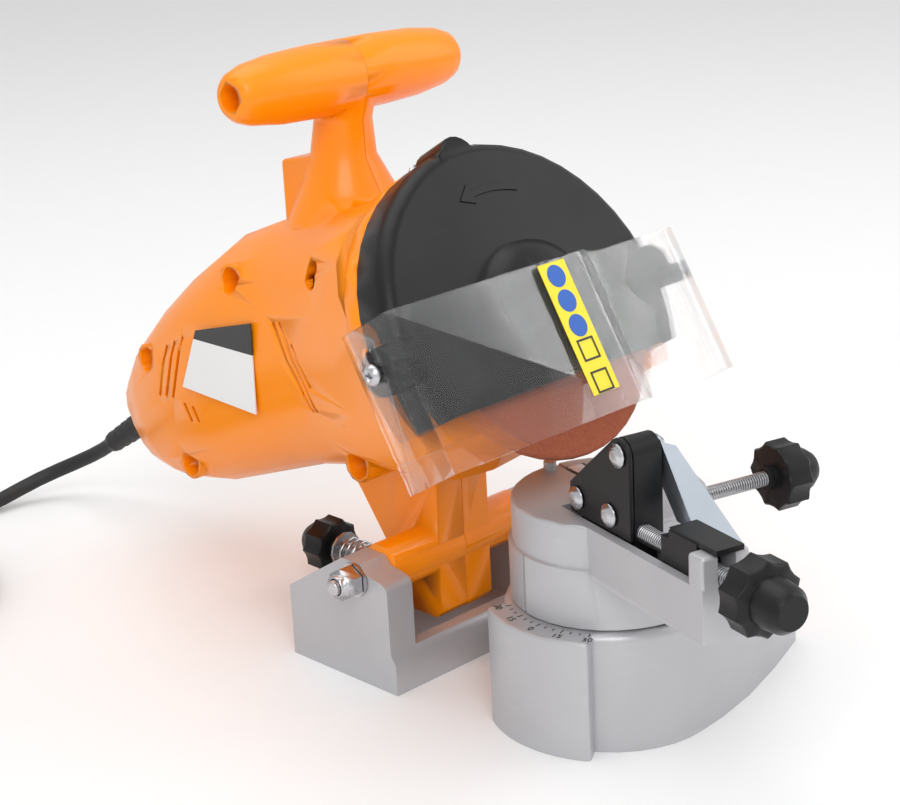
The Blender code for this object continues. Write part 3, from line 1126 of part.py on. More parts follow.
def wheel_set():
    """Grinding wheel between its flanges, held by the arbor nut."""
    half = WHEEL_T / 2
    edge = WHEEL_T / 4
    piece("grinding_wheel", turned_ring([
        (WHEEL_R - edge, -half), (WHEEL_R, edge - half), (WHEEL_R, half - edge), (WHEEL_R - edge, half),
        (WHEEL_BORE_R, half), (WHEEL_BORE_R, -half)], FINE_ROUND), ABRASIVE, MOTOR)
    inner = SHAFT_R + GAP
    seat = half + GAP / 3
    piece("inner_flange", washer(FLANGE_R, inner, -seat - FLANGE_T, -seat), STEEL, MOTOR)
    piece("outer_flange", washer(FLANGE_R, inner, seat, seat + FLANGE_T), STEEL, MOTOR)
    low = seat + FLANGE_T + GAP / 3
    nut = piece("arbor_nut", prism(hexagon(NUT_AF), low, low + NUT_H), STEEL, MOTOR)
    cut(nut, tool("arbor_nut_bore", bar(inner, low - OVERRUN, low + OVERRUN), MOTOR))


def guard():
    """The black wheel guard with its dome, fixing ears and the visor's bosses."""
    shoulder = (DOME_FRONT - GUARD_FRONT) / 2
    outer = [(GUARD_R, GUARD_BACK), (GUARD_R, GUARD_FRONT - GUARD_EDGE), (GUARD_R - GUARD_EDGE / 3,
             GUARD_FRONT - GUARD_EDGE / 3), (GUARD_R - GUARD_EDGE, GUARD_FRONT), (DOME_R, GUARD_FRONT),
             (DOME_R - DOME_SHOULDER / 4, GUARD_FRONT + shoulder), (DOME_R - DOME_SHOULDER, DOME_FRONT - GUARD_EDGE / 2),
             (DOME_R - DOME_SHOULDER * 2, DOME_FRONT)]
    body = piece("wheel_guard", turned(outer, FINE_ROUND), BLACK, MOTOR)
    for index, (x, y) in enumerate(GUARD_EARS):
        fuse(body, tool(f"guard_ear_{index}", bar(GUARD_EAR_R, GUARD_BACK, GUARD_FRONT - GUARD_EAR_DROP, ROUND - 8),
                        MOTOR, shift(x, y)))
    side = (1.0, 0.0, 0.0)
    boss_z = VISOR_SIDE_Z
    bosses = []
    for index, (radius, low, high) in enumerate(((VISOR_BOSS_R, -VISOR_BOSS_END, -GUARD_R + GUARD_WALL / 2),
                                                 (RIGHT_BOSS_R, GUARD_R - GUARD_WALL / 2, VISOR_BOSS_END))):
        bosses.append(tool(f"visor_boss_{index}", bar(radius, low, high, ROUND - 8), MOTOR,
                           along(side, 0.0, VISOR_BOSS_DROP, boss_z)))
    fuse(body, *bosses)
    wall = GUARD_WALL
    inner = [(GUARD_R - wall, GUARD_BACK - OVERRUN), (GUARD_R - wall, GUARD_FRONT - wall),
             (DOME_R - wall, GUARD_FRONT - wall), (DOME_R - wall - DOME_SHOULDER / 4, GUARD_FRONT + shoulder - wall),
             (DOME_R - wall - DOME_SHOULDER, DOME_FRONT - wall * 1.5)]
    cut(body, tool("guard_space", turned(inner, FINE_ROUND), MOTOR))
    cut(body, tool("guard_cut", box(-GUARD_R * 2, GUARD_R * 2, -GUARD_R * 2, GUARD_CUT, -GUARD_R, GUARD_R), MOTOR))
    for index, (x, y) in enumerate(GUARD_SCREWS):
        place = shift(x, y)
        fuse(body, tool(f"ear_column_{index}", bar(GUARD_COLUMN_R, GUARD_BACK, GUARD_FRONT - GUARD_WALL / 2), MOTOR,
                        place))
        cut(body, tool(f"ear_hole_{index}", bar(VISOR_SCREW_R + GAP, GUARD_BACK - OVERRUN, GAP * 2), MOTOR, place))
        seat = GUARD_SCREW_SEAT - GAP
        part = turned([(VISOR_HEAD_R * 0.6, seat - VISOR_HEAD_H), (VISOR_HEAD_R, seat - VISOR_HEAD_H / 2),
                       (VISOR_HEAD_R, seat), (VISOR_SCREW_R, seat), (VISOR_SCREW_R, 0.0)], SMALL_ROUND)
        piece(f"guard_screw_{index + 1}", part, STEEL, MOTOR, place)
    for side_name, direction in (("left", -1), ("right", 1)):
        place = along((direction, 0.0, 0.0), 0.0, VISOR_BOSS_DROP, boss_z)
        cut(body, tool(f"{side_name}_boss_bore", bar(VISOR_SCREW_R + GAP, GUARD_R + GAP, GUARD_R * 2), MOTOR, place))
        head = VISOR_HALF_W + GAP
        part = turned([(VISOR_SCREW_R, GUARD_R + GAP * 2), (VISOR_SCREW_R, head), (VISOR_HEAD_R, head),
                       (VISOR_HEAD_R, head + VISOR_HEAD_H / 2), (VISOR_HEAD_R * 0.7, head + VISOR_HEAD_H)],
                      SMALL_ROUND)
        piece(f"{side_name}_visor_screw", part, STEEL, MOTOR, place)


def visor():
    """Clear screen bent round the front of the guard, with slots at its screws, and its strip."""
    wide = VISOR_HALF_W
    thick = VISOR_T
    outline = [
        (-wide, VISOR_BACK), (-wide, VISOR_FRONT), (VISOR_STEP_START, VISOR_FRONT),
        (VISOR_STEP_END, VISOR_STEP_BACK), (wide, VISOR_STEP_BACK), (wide, VISOR_BACK),
        (wide - thick, VISOR_BACK), (wide - thick, VISOR_STEP_BACK - thick),
        (VISOR_STEP_END - thick / 3, VISOR_STEP_BACK - thick), (VISOR_STEP_START - thick / 3, VISOR_FRONT - thick),
        (thick - wide, VISOR_FRONT - thick), (thick - wide, VISOR_BACK)]
    screen = piece("visor_screen", arm_prism(outline, VISOR_BOTTOM, VISOR_TOP), CLEAR, MOTOR)
    radius = VISOR_SCREW_R + GAP
    slot = stadium(VISOR_BOSS_DROP, VISOR_BOSS_DROP + VISOR_SLOT_L, VISOR_SIDE_Z, radius)
    cut(screen, tool("visor_slots", side_prism(slot, -wide - OVERRUN, wide + OVERRUN), MOTOR))
    low = VISOR_FRONT + GAP / 3
    piece("visor_strip", box(STRIP_LEFT, STRIP_LEFT + STRIP_W, STRIP_BOTTOM, STRIP_TOP, low, low + STRIP_T),
          YELLOW, MOTOR)


def stadium(start, end, level, radius):
    """A slot's outline: two half circles joined, along the first coordinate."""
    points = arc(radius, -math.pi / 2, math.pi / 2, 6, end, level)
    points += arc(radius, math.pi / 2, math.pi * 3 / 2, 6, start, level)
    return points


def switch():
    """Switch body in the neck's rear, with its rocker."""
    low = SWITCH_Z - SWITCH_H / 2
    high = SWITCH_Z + SWITCH_H / 2
    body = piece("switch_body", box(-SWITCH_HALF_W, SWITCH_HALF_W, SWITCH_IN_Y, SWITCH_OUT_Y, low, high), BLACK, HEAD)
    half = SWITCH_HALF_W - ROCKER_T / 2
    pocket = box(-half, half, SWITCH_OUT_Y - ROCKER_T * 2, SWITCH_OUT_Y + OVERRUN, SWITCH_Z - ROCKER_H / 2,
                 SWITCH_Z + ROCKER_H / 2)
    cut(body, tool("rocker_pocket", pocket, HEAD))
    y = SWITCH_OUT_Y - ROCKER_T
    half_h = ROCKER_H / 2 - GAP * 2
    place = frame("rocker_frame", shift(0.0, y, SWITCH_Z))
    piece("switch_rocker", side_prism([
        (-ROCKER_T / 2, -half_h + GAP), (-ROCKER_T / 2, half_h - GAP), (ROCKER_T, half_h), (ROCKER_T * 0.7, 0.0),
        (ROCKER_T * 1.6, -half_h)], GAP - half, half - GAP), BLACK, place)


def boot():
    """Ribbed cord boot, rooted in the housing."""
    place = boot_place()
    sections = [(BOOT_ROOT_R, -BOOT_ROOT_L), (BOOT_ROOT_R, 0.0), (BOOT_BASE_R, 0.0), (BOOT_BASE_R, BOOT_BASE_R / 2)]
    start = BOOT_BASE_R / 2
    pitch = (BOOT_LENGTH - start) / BOOT_RIBS
    for index in range(BOOT_RIBS):
        share = (index + 0.5) / BOOT_RIBS
        radius = BOOT_BASE_R + (BOOT_TIP_R - BOOT_BASE_R) * share
        sections.append((radius * 0.86, start + pitch * index))
        sections.append((radius, start + pitch * (index + 0.4)))
    sections.append((BOOT_TIP_R * 0.9, BOOT_LENGTH))
    item = piece("cord_boot", turned(sections, SMALL_ROUND), RUBBER, HEAD, place)
    return item


def least_gap(points, diameter, skip):
    """The smallest distance between far-apart stretches of a wound tube, less its diameter."""
    route = numpy.array([tuple(point) for point in points])
    best = math.inf
    for index in range(len(route) - skip):
        distance = numpy.linalg.norm(route[index + skip:] - route[index], axis=1).min()
        best = min(best, float(distance) - diameter)
    return best


def coil_points():
    """The put-away coil: spirals in on the bench, climbs a pitch and spirals out above."""
    points = []
    outer = COIL_INNER_R + COIL_PITCH * COIL_TURNS
    level = CORD_R + COIL_LIFT
    straight = CORD_R * 2
    points.append((COIL_X + straight, COIL_Y + outer, level))
    count = int(COIL_TURNS * COIL_STEPS)
    for index in range(count + 1):
        share = index / count
        angle = math.pi / 2 + TAU * COIL_TURNS * share
        radius = outer - COIL_PITCH * COIL_TURNS * share
        points.append((COIL_X + radius * math.cos(angle), COIL_Y + radius * math.sin(angle), level))
    climb = COIL_STEPS // 4
    turned_by = TAU * COIL_TURNS
    for index in range(1, climb + 1):
        share = index / climb
        angle = math.pi / 2 + turned_by + math.pi / 2 * share
        lift = COIL_PITCH * (0.5 - 0.5 * math.cos(math.pi * share))
        points.append((COIL_X + COIL_INNER_R * math.cos(angle), COIL_Y + COIL_INNER_R * math.sin(angle),
                       level + lift))
    turned_by += math.pi / 2
    for index in range(1, count + 1):
        share = index / count
        angle = math.pi / 2 + turned_by + TAU * COIL_TURNS * share
        radius = COIL_INNER_R + COIL_PITCH * COIL_TURNS * share
        points.append((COIL_X + radius * math.cos(angle), COIL_Y + radius * math.sin(angle), level + COIL_PITCH))
    return points


def lead():
    """The free lead, its put-away coil, the tie and the plug."""
    route = smooth_route(LEAD_ROUTE, 2)
    tube("cord_lead", route, CORD_R, RUBBER, 1)
    points = coil_points()
    start = Vector(points[-1])
    heading = Vector((0.0, -1.0, 0.0))
    rise = PLUG_R * PLUG_SLIM_SHARE + TIE_LIFT - start.z
    for index in range(1, TAIL_STEPS + 1):
        share = index / TAIL_STEPS
        lift = rise * (0.5 - 0.5 * math.cos(math.pi * min(1.0, share * TAIL_STEPS / (TAIL_STEPS - 1))))
        points.append(tuple(start + heading * TAIL_L * share + Vector((0.0, 0.0, lift))))
    tube("cord_coil", points, CORD_R, RUBBER, 1)
    tie()
    print("coil gap mm", round(least_gap(points, CORD_R * 2, COIL_STEPS // 2) / MM, 2))
    length = sum((Vector(b) - Vector(a)).length for a, b in zip(points, points[1:]))
    length += sum((b - a).length for a, b in zip(route, route[1:]))
    print("cord length m", round(length, 3))
    plug_start = Vector(points[-1]) + heading * GAP
    place = along(tuple(heading), *plug_start)
    plug(place)


def tie():
    """The band that holds the coil's turns together."""
    clear = CORD_R + GAP
    near = math.sqrt((COIL_INNER_R - clear - GAP) ** 2 - (TIE_W / 2) ** 2)
    far = COIL_INNER_R + COIL_PITCH * COIL_TURNS + clear
    top = COIL_LIFT + COIL_PITCH + CORD_R * 2 + GAP
    place = shift(COIL_X, COIL_Y) @ Matrix.Rotation(TIE_ANGLE, 4, "Z")
    band = piece("cord_tie", box(near - TIE_T, far + TIE_T, -TIE_W / 2, TIE_W / 2, TIE_LIFT, top + TIE_T),
                 BLACK, BASE, place)
    cut(band, tool("tie_space", box(near, far, -TIE_W, TIE_W, TIE_LIFT + TIE_T, top), BASE, place))


def plug(place):
    """The mains plug at the lead's end, with two round pins."""
    lift = frame("plug_frame", place)
    body = piece("plug_body", turned([
        (PLUG_NECK_R * 0.6, 0.0), (PLUG_NECK_R, PLUG_NECK_L), (PLUG_R * PLUG_SLIM_SHARE, PLUG_NECK_L + PLUG_L / 3),
        (PLUG_R * PLUG_SLIM_SHARE, PLUG_NECK_L + PLUG_L)], ROUND - 8), RUBBER, lift)
    end = PLUG_NECK_L + PLUG_L
    root = end - PIN_L / 2
    half = PIN_SPACING / 2
    pins = piece("plug_pins", rod(PIN_R, root, end + PIN_L), STEEL, lift, shift(-half))
    second = tool("second_pin", rod(PIN_R, root, end + PIN_L), lift, shift(half))
    carrier = tool("pin_carrier", box(-half - PIN_R / 2, half + PIN_R / 2, -PIN_R / 2, PIN_R / 2,
                                      root - PIN_R, root + PIN_R), lift)
    fuse(pins, carrier, second)
    cut(body, tool("carrier_space", box(-half - PIN_R / 2 - GAP, half + PIN_R / 2 + GAP, -PIN_R / 2 - GAP,
                                        PIN_R / 2 + GAP, root - PIN_R - GAP, end + OVERRUN), lift))
    for name, place_x in (("left_pin_hole", -half), ("right_pin_hole", half)):
        cut(body, tool(name, bar(PIN_R + GAP, root - GAP, end + OVERRUN), lift, shift(place_x)))


def main():
    """Build every piece of the sharpener."""
    base_casting()
    pedestal_hardware()
    hinge_hardware()
    depth_group()
    vise_casting()
    clamp_group()
    feed_group()
    carriage_group()
    housing()
    motor()
    wheel_set()
    guard()
    visor()
    switch()
    boot()
    lead()


main()
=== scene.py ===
"""The looks of a bench chain sharpener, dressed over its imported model."""

import json
import logging
import math
from dataclasses import dataclass
from enum import Enum

import bpy
from mathutils import Matrix, Vector


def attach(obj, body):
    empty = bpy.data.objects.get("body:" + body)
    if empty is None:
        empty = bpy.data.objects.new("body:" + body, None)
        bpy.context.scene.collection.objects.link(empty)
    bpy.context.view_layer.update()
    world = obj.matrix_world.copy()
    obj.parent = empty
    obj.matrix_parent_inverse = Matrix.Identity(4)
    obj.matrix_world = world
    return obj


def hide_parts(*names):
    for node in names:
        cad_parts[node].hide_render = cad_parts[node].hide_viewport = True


MM = 0.001
THREAD_PITCH = 1.0 * MM
SHARP_ANGLE = math.radians(48.0)
ROUNDING_SEGMENTS = 2
PRINT_BEVEL = 0.03 * MM
GRAIN_DETAIL = 3.0
DRIFT_DETAIL = 4.0
SCUFF_DETAIL = 6.0
SCUFF_STRETCH = (1.0, 1.0, 6.0)
SCUFF_FROM = 0.6
SCUFF_FULL = 0.74
LOG = logging.getLogger("sharpener")

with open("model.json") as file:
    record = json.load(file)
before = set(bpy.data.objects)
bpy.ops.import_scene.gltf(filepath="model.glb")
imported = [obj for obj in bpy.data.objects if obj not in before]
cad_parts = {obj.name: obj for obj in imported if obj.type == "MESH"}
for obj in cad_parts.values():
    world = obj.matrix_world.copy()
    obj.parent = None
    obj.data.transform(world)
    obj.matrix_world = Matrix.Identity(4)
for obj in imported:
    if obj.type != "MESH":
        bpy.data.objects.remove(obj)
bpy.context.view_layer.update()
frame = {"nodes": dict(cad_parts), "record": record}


class Effect(Enum):
    """The shared surface effects, by the name of their node group."""

    GRAIN = "surface_grain"
    SCUFF = "scuff_marks"


class Side(Enum):
    """Which way a screw's axis runs, as a unit direction in the shared frame."""

    ACROSS = (1.0, 0.0, 0.0)
    ALONG = (0.0, 1.0, 0.0)
    MOTOR = (0.0, -0.86074, 0.50904)
    ARM = (0.965926, -0.258819, 0.0)
    FEED = (-0.258819, -0.965926, 0.0)


def socket(group: bpy.types.NodeTree, name: str, way: str, kind: str,
           value: object = None) -> None:
    """Adds a named socket to a node group.

    Args:
        group: The node group.
        name: The socket's name.
        way: INPUT or OUTPUT.
        kind: Float or Color.
        value: An input's default value.
    """
    made = group.interface.new_socket(name=name, in_out=way, socket_type=f"NodeSocket{kind}")
    if value is not None:
        made.default_value = value


def grain_group() -> bpy.types.NodeTree:
    """Builds the grain: two colours in broad drifts, with a fine relief.

    Returns:
        The node group, with outputs Colour, Roughness and Height.
    """
    group = bpy.data.node_groups.new(Effect.GRAIN.value, "ShaderNodeTree")
    socket(group, "Colour", "INPUT", "Color", (0.5, 0.5, 0.5, 1.0))
    socket(group, "Second Colour", "INPUT", "Color", (0.4, 0.4, 0.4, 1.0))
    socket(group, "Scale", "INPUT", "Float", 1500.0)
    socket(group, "Drift Scale", "INPUT", "Float", 40.0)
    socket(group, "Roughness", "INPUT", "Float", 0.4)
    socket(group, "Spread", "INPUT", "Float", 0.1)
    socket(group, "Colour", "OUTPUT", "Color")
    socket(group, "Roughness", "OUTPUT", "Float")
    socket(group, "Height", "OUTPUT", "Float")
    nodes, links = group.nodes, group.links
    source, result = nodes.new("NodeGroupInput"), nodes.new("NodeGroupOutput")
    place = nodes.new("ShaderNodeTexCoord")
    fine, drift = nodes.new("ShaderNodeTexNoise"), nodes.new("ShaderNodeTexNoise")
    fine.inputs["Detail"].default_value = GRAIN_DETAIL
    drift.inputs["Detail"].default_value = DRIFT_DETAIL
    blend = nodes.new("ShaderNodeMix")
    blend.data_type = "RGBA"
    swing, rough = nodes.new("ShaderNodeMath"), nodes.new("ShaderNodeMath")
    swing.operation, rough.operation = "MULTIPLY", "ADD"
    rough.use_clamp = True
    for noise, name in ((fine, "Scale"), (drift, "Drift Scale")):
        links.new(place.outputs["Object"], noise.inputs["Vector"])
        links.new(source.outputs[name], noise.inputs["Scale"])
    links.new(drift.outputs["Fac"], blend.inputs["Factor"])
    links.new(source.outputs["Colour"], blend.inputs["A"])
    links.new(source.outputs["Second Colour"], blend.inputs["B"])
    links.new(drift.outputs["Fac"], swing.inputs[0])
    links.new(source.outputs["Spread"], swing.inputs[1])
    links.new(swing.outputs[0], rough.inputs[0])
    links.new(source.outputs["Roughness"], rough.inputs[1])
    links.new(blend.outputs["Result"], result.inputs["Colour"])
    links.new(rough.outputs[0], result.inputs["Roughness"])
    links.new(fine.outputs["Fac"], result.inputs["Height"])
    return group


def scuff_group() -> bpy.types.NodeTree:
    """Builds the scuffs: short stretched marks, as a mask.

    Returns:
        The node group, with output Mask.
    """
    group = bpy.data.node_groups.new(Effect.SCUFF.value, "ShaderNodeTree")
    socket(group, "Scale", "INPUT", "Float", 90.0)
    socket(group, "Amount", "INPUT", "Float", 0.3)
    socket(group, "Mask", "OUTPUT", "Float")
    nodes, links = group.nodes, group.links
    source, result = nodes.new("NodeGroupInput"), nodes.new("NodeGroupOutput")
    place, stretch = nodes.new("ShaderNodeTexCoord"), nodes.new("ShaderNodeMapping")
    stretch.inputs["Scale"].default_value = SCUFF_STRETCH
    noise, keep = nodes.new("ShaderNodeTexNoise"), nodes.new("ShaderNodeMapRange")
    scale = nodes.new("ShaderNodeMath")
    noise.inputs["Detail"].default_value = SCUFF_DETAIL
    keep.inputs["From Min"].default_value = SCUFF_FROM
    keep.inputs["From Max"].default_value = SCUFF_FULL
    scale.operation = "MULTIPLY"
    links.new(place.outputs["Object"], stretch.inputs["Vector"])
    links.new(stretch.outputs["Vector"], noise.inputs["Vector"])
    links.new(source.outputs["Scale"], noise.inputs["Scale"])
    links.new(noise.outputs["Fac"], keep.inputs["Value"])
    links.new(keep.outputs["Result"], scale.inputs[0])
    links.new(source.outputs["Amount"], scale.inputs[1])
    links.new(scale.outputs[0], result.inputs["Mask"])
    return group


@dataclass(frozen=True)
class Finish:
    """One surface finish; colours are linear and the scales are per metre."""

    name: str
    colour: tuple[float, float, float]
    second: tuple[float, float, float]
    roughness: float
    spread: float = 0.1
    metallic: float = 0.0
    grain: float = 1500.0
    drift: float = 40.0
    relief: float = 0.05
    coat: float = 0.0
    scuff: float = 0.0
    scuff_colour: tuple[float, float, float] = (0.5, 0.5, 0.5)
    clear: float = 1.0
    band_above: float = 0.0
    gloss: float = 0.5
    thread: tuple[float, float, float] = (0.0, 0.0, 0.0)
    thread_relief: float = 0.9
    coat_roughness: float = 0.12
    relief_depth: float = 0.3 * MM
    band_colour: tuple[float, float, float] = (0.03, 0.03, 0.032)
    refraction: float = 1.45
    edge_blend: float = 0.3
    edge_alpha: float = 0.9

    def build(self, groups: dict[Effect, bpy.types.NodeTree]) -> bpy.types.Material:
        """Makes the material.

        Args:
            groups: The shared effects' node groups.

        Returns:
            The finished material.
        """
        material = bpy.data.materials.new(self.name)
        material.use_nodes = True
        nodes, links = material.node_tree.nodes, material.node_tree.links
        shader = nodes["Principled BSDF"]
        shader.inputs["Metallic"].default_value = self.metallic
        shader.inputs["Coat Weight"].default_value = self.coat
        shader.inputs["Coat Roughness"].default_value = self.coat_roughness
        shader.inputs["Specular IOR Level"].default_value = self.gloss
        grain = nodes.new("ShaderNodeGroup")
        grain.node_tree = groups[Effect.GRAIN]
        grain.inputs["Colour"].default_value = (*self.colour, 1.0)
        grain.inputs["Second Colour"].default_value = (*self.second, 1.0)
        grain.inputs["Scale"].default_value = self.grain
        grain.inputs["Drift Scale"].default_value = self.drift
        grain.inputs["Roughness"].default_value = self.roughness
        grain.inputs["Spread"].default_value = self.spread
        colour = grain.outputs["Colour"]
        if self.scuff:
            marks = nodes.new("ShaderNodeGroup")
            marks.node_tree = groups[Effect.SCUFF]
            marks.inputs["Amount"].default_value = self.scuff
            colour = self.mixed(material, marks.outputs["Mask"], colour, self.scuff_colour)
        if self.band_above:
            colour = self.mixed(material, self.band(material), colour, self.band_colour)
        bump = nodes.new("ShaderNodeBump")
        bump.inputs["Strength"].default_value = self.relief
        bump.inputs["Distance"].default_value = self.relief_depth
        links.new(colour, shader.inputs["Base Color"])
        links.new(grain.outputs["Roughness"], shader.inputs["Roughness"])
        height = grain.outputs["Height"]
        if any(self.thread):
            height = self.thread_lines(material)
            bump.inputs["Strength"].default_value = self.thread_relief
        links.new(height, bump.inputs["Height"])
        links.new(bump.outputs["Normal"], shader.inputs["Normal"])
        if self.clear < 1.0:
            self.thin_out(material, shader)
        return material

    def mixed(self, material: bpy.types.Material, mask: bpy.types.NodeSocket,
              under: bpy.types.NodeSocket, over: tuple[float, float, float]) -> bpy.types.NodeSocket:
        """Lays one colour over another by a mask.

        Args:
            material: The material.
            mask: Where the upper colour shows.
            under: The lower colour.
            over: The upper colour.

        Returns:
            The mixed colour's socket.
        """
        mix = material.node_tree.nodes.new("ShaderNodeMix")
        mix.data_type = "RGBA"
        mix.inputs["B"].default_value = (*over, 1.0)
        material.node_tree.links.new(mask, mix.inputs["Factor"])
        material.node_tree.links.new(under, mix.inputs["A"])
        return mix.outputs["Result"]

    def band(self, material: bpy.types.Material) -> bpy.types.NodeSocket:
        """Masks what lies above the band's height.

        Args:
            material: The material.

        Returns:
            The mask's socket.
        """
        nodes, links = material.node_tree.nodes, material.node_tree.links
        place, split = nodes.new("ShaderNodeTexCoord"), nodes.new("ShaderNodeSeparateXYZ")
        above = nodes.new("ShaderNodeMath")
        above.operation = "GREATER_THAN"
        above.inputs[1].default_value = self.band_above
        links.new(place.outputs["Object"], split.inputs["Vector"])
        links.new(split.outputs["Z"], above.inputs[0])
        return above.outputs[0]

    def thread_lines(self, material: bpy.types.Material) -> bpy.types.NodeSocket:
        """Makes the fine turns of a screw's thread along its axis.

        Args:
            material: The material.

        Returns:
            The relief's socket.
        """
        nodes, links = material.node_tree.nodes, material.node_tree.links
        place, along = nodes.new("ShaderNodeTexCoord"), nodes.new("ShaderNodeVectorMath")
        turns, wave = nodes.new("ShaderNodeMath"), nodes.new("ShaderNodeMath")
        along.operation, turns.operation, wave.operation = "DOT_PRODUCT", "MULTIPLY", "SINE"
        along.inputs[1].default_value = self.thread
        turns.inputs[1].default_value = math.tau / THREAD_PITCH
        links.new(place.outputs["Object"], along.inputs[0])
        links.new(along.outputs["Value"], turns.inputs[0])
        links.new(turns.outputs[0], wave.inputs[0])
        return wave.outputs[0]

    def thin_out(self, material: bpy.types.Material, shader: bpy.types.ShaderNode) -> None:
        """Lets the sheet be seen through, more so where it faces the view than at a slant.

        Args:
            material: The material.
            shader: Its Principled BSDF.
        """
        nodes, links = material.node_tree.nodes, material.node_tree.links
        shader.inputs["Transmission Weight"].default_value = 1.0
        shader.inputs["IOR"].default_value = self.refraction
        edge, span = nodes.new("ShaderNodeLayerWeight"), nodes.new("ShaderNodeMapRange")
        edge.inputs["Blend"].default_value = self.edge_blend
        span.inputs["To Min"].default_value = self.clear
        span.inputs["To Max"].default_value = self.edge_alpha
        links.new(edge.outputs["Facing"], span.inputs["Value"])
        links.new(span.outputs["Result"], shader.inputs["Alpha"])


FINISHES = {
    "orange_plastic": Finish(
        "orange_gloss", (1.0, 0.29, 0.0), (0.98, 0.26, 0.0), 0.27, 0.1, grain=1800.0,
        relief=0.02, coat=0.12, scuff=0.05, scuff_colour=(0.98, 0.5, 0.2), gloss=0.35),
    "grey_casting": Finish(
        "silver_paint", (0.54, 0.54, 0.56), (0.45, 0.45, 0.47), 0.34, 0.18, 0.45, grain=900.0,
        drift=30.0, relief=0.16, scuff=0.12, scuff_colour=(0.7, 0.7, 0.72)),
    "black_plastic": Finish(
        "satin_black", (0.010, 0.010, 0.011), (0.006, 0.006, 0.007), 0.32, 0.12, grain=2200.0,
        relief=0.08, scuff=0.08, scuff_colour=(0.04, 0.04, 0.04), gloss=0.3),
    "black_rubber": Finish(
        "soft_black", (0.016, 0.016, 0.017), (0.011, 0.011, 0.011), 0.5, 0.16, grain=1200.0,
        relief=0.12, scuff=0.08, scuff_colour=(0.06, 0.06, 0.06)),
    "bright_steel": Finish(
        "turned_steel", (0.62, 0.62, 0.64), (0.52, 0.52, 0.54), 0.2, 0.16, 1.0, grain=2600.0,
        drift=120.0, relief=0.05, scuff=0.15, scuff_colour=(0.4, 0.4, 0.41)),
    "zinc_plate": Finish(
        "blue_zinc", (0.56, 0.62, 0.70), (0.46, 0.50, 0.54), 0.26, 0.2, 1.0, grain=2000.0,
        drift=70.0, relief=0.06, scuff=0.15, scuff_colour=(0.62, 0.6, 0.5)),
    "copper_winding": Finish(
        "wound_copper", (0.6, 0.25, 0.1), (0.42, 0.16, 0.06), 0.32, 0.2, 0.9, grain=3000.0,
        relief=0.3),
    "brown_abrasive": Finish(
        "bonded_grit", (0.42, 0.115, 0.05), (0.26, 0.055, 0.028), 0.85, 0.12, grain=1700.0,
        drift=900.0, relief=0.9),
    "clear_plastic": Finish(
        "clear_sheet", (0.93, 0.95, 0.95), (0.91, 0.94, 0.94), 0.03, 0.02, grain=300.0,
        relief=0.005, clear=0.3),
    "yellow_sheet": Finish(
        "yellow_film", (0.9, 0.72, 0.02), (0.86, 0.68, 0.02), 0.35, 0.1, relief=0.02),
    "white_sheet": Finish(
        "white_film", (0.82, 0.82, 0.81), (0.78, 0.78, 0.77), 0.35, 0.1, relief=0.02,
        band_above=0.1085),
}
THREADED = {
    node: Finish(
        f"{node}_thread", (0.62, 0.62, 0.64), (0.5, 0.5, 0.52), 0.22, 0.14, 1.0,
        drift=120.0, thread=side.value)
    for node, side in (("clamp_screw", Side.ARM), ("feed_screw", Side.FEED), ("depth_screw", Side.ALONG))
}
INK = Finish("dark_print", (0.02, 0.02, 0.022), (0.03, 0.03, 0.03), 0.45, 0.1, relief=0.02)
BLUE_INK = Finish("blue_print", (0.015, 0.1, 0.45), (0.02, 0.12, 0.5), 0.4, 0.1, relief=0.02)
FLOOR = Finish("pale_floor", (0.9, 0.9, 0.9), (0.88, 0.88, 0.88), 0.8, 0.05, grain=50.0, relief=0.0)


class Wardrobe:
    """Holds the built materials, each made once."""

    def __init__(self) -> None:
        """Builds the shared effects."""
        self.groups = {Effect.GRAIN: grain_group(), Effect.SCUFF: scuff_group()}
        self.made: dict[str, bpy.types.Material] = {}

    def get(self, finish: Finish) -> bpy.types.Material:
        """Gives a finish's material, built on its first use.

        Args:
            finish: The finish.

        Returns:
            Its material.
        """
        if finish.name not in self.made:
            self.made[finish.name] = finish.build(self.groups)
        return self.made[finish.name]

    def dress(self, piece: bpy.types.Object, finish: Finish) -> None:
        """Gives a piece one material."""
        piece.data.materials.clear()
        piece.data.materials.append(self.get(finish))


def only(piece: bpy.types.Object) -> None:
    """Selects one object alone and makes it active.

    Args:
        piece: The object.
    """
    bpy.ops.object.select_all(action="DESELECT")
    piece.select_set(True)
    bpy.context.view_layer.objects.active = piece


def link(piece: bpy.types.Object) -> None:
    """Puts a new object in the scene."""
    bpy.context.scene.collection.objects.link(piece)


def ease(share: float) -> float:
    """Turns an even share into one that starts and ends gently."""
    return 0.5 - 0.5 * math.cos(math.pi * share)


def settle(piece: bpy.types.Object) -> None:
    """Applies a piece's place to its mesh, so that its object sits at the origin."""
    only(piece)
    bpy.ops.object.transform_apply(location=True, rotation=True, scale=True)


def body_with(node: str) -> str:
    """Names the body that holds a node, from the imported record."""
    bodies = frame["record"]["behaviour"]["bodies"]
    return next(name for name, nodes in bodies.items() if node in nodes)


def slot_with(node: str) -> str:
    """Names the material slot of a node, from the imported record."""
    return next(part["material_slot"] for part in frame["record"]["subparts"] if part["node"] == node)


def bevel(piece: bpy.types.Object, width: float, angle: float = SHARP_ANGLE) -> None:
    """Rounds a piece's sharp edges and applies the modifier.

    Args:
        piece: The piece.
        width: The bevel's width.
        angle: The least angle that counts as sharp.
    """
    only(piece)
    rounding = piece.modifiers.new("rounding", "BEVEL")
    rounding.width = width
    rounding.segments = ROUNDING_SEGMENTS
    rounding.limit_method = "ANGLE"
    rounding.angle_limit = angle
    bpy.ops.object.modifier_apply(modifier=rounding.name)


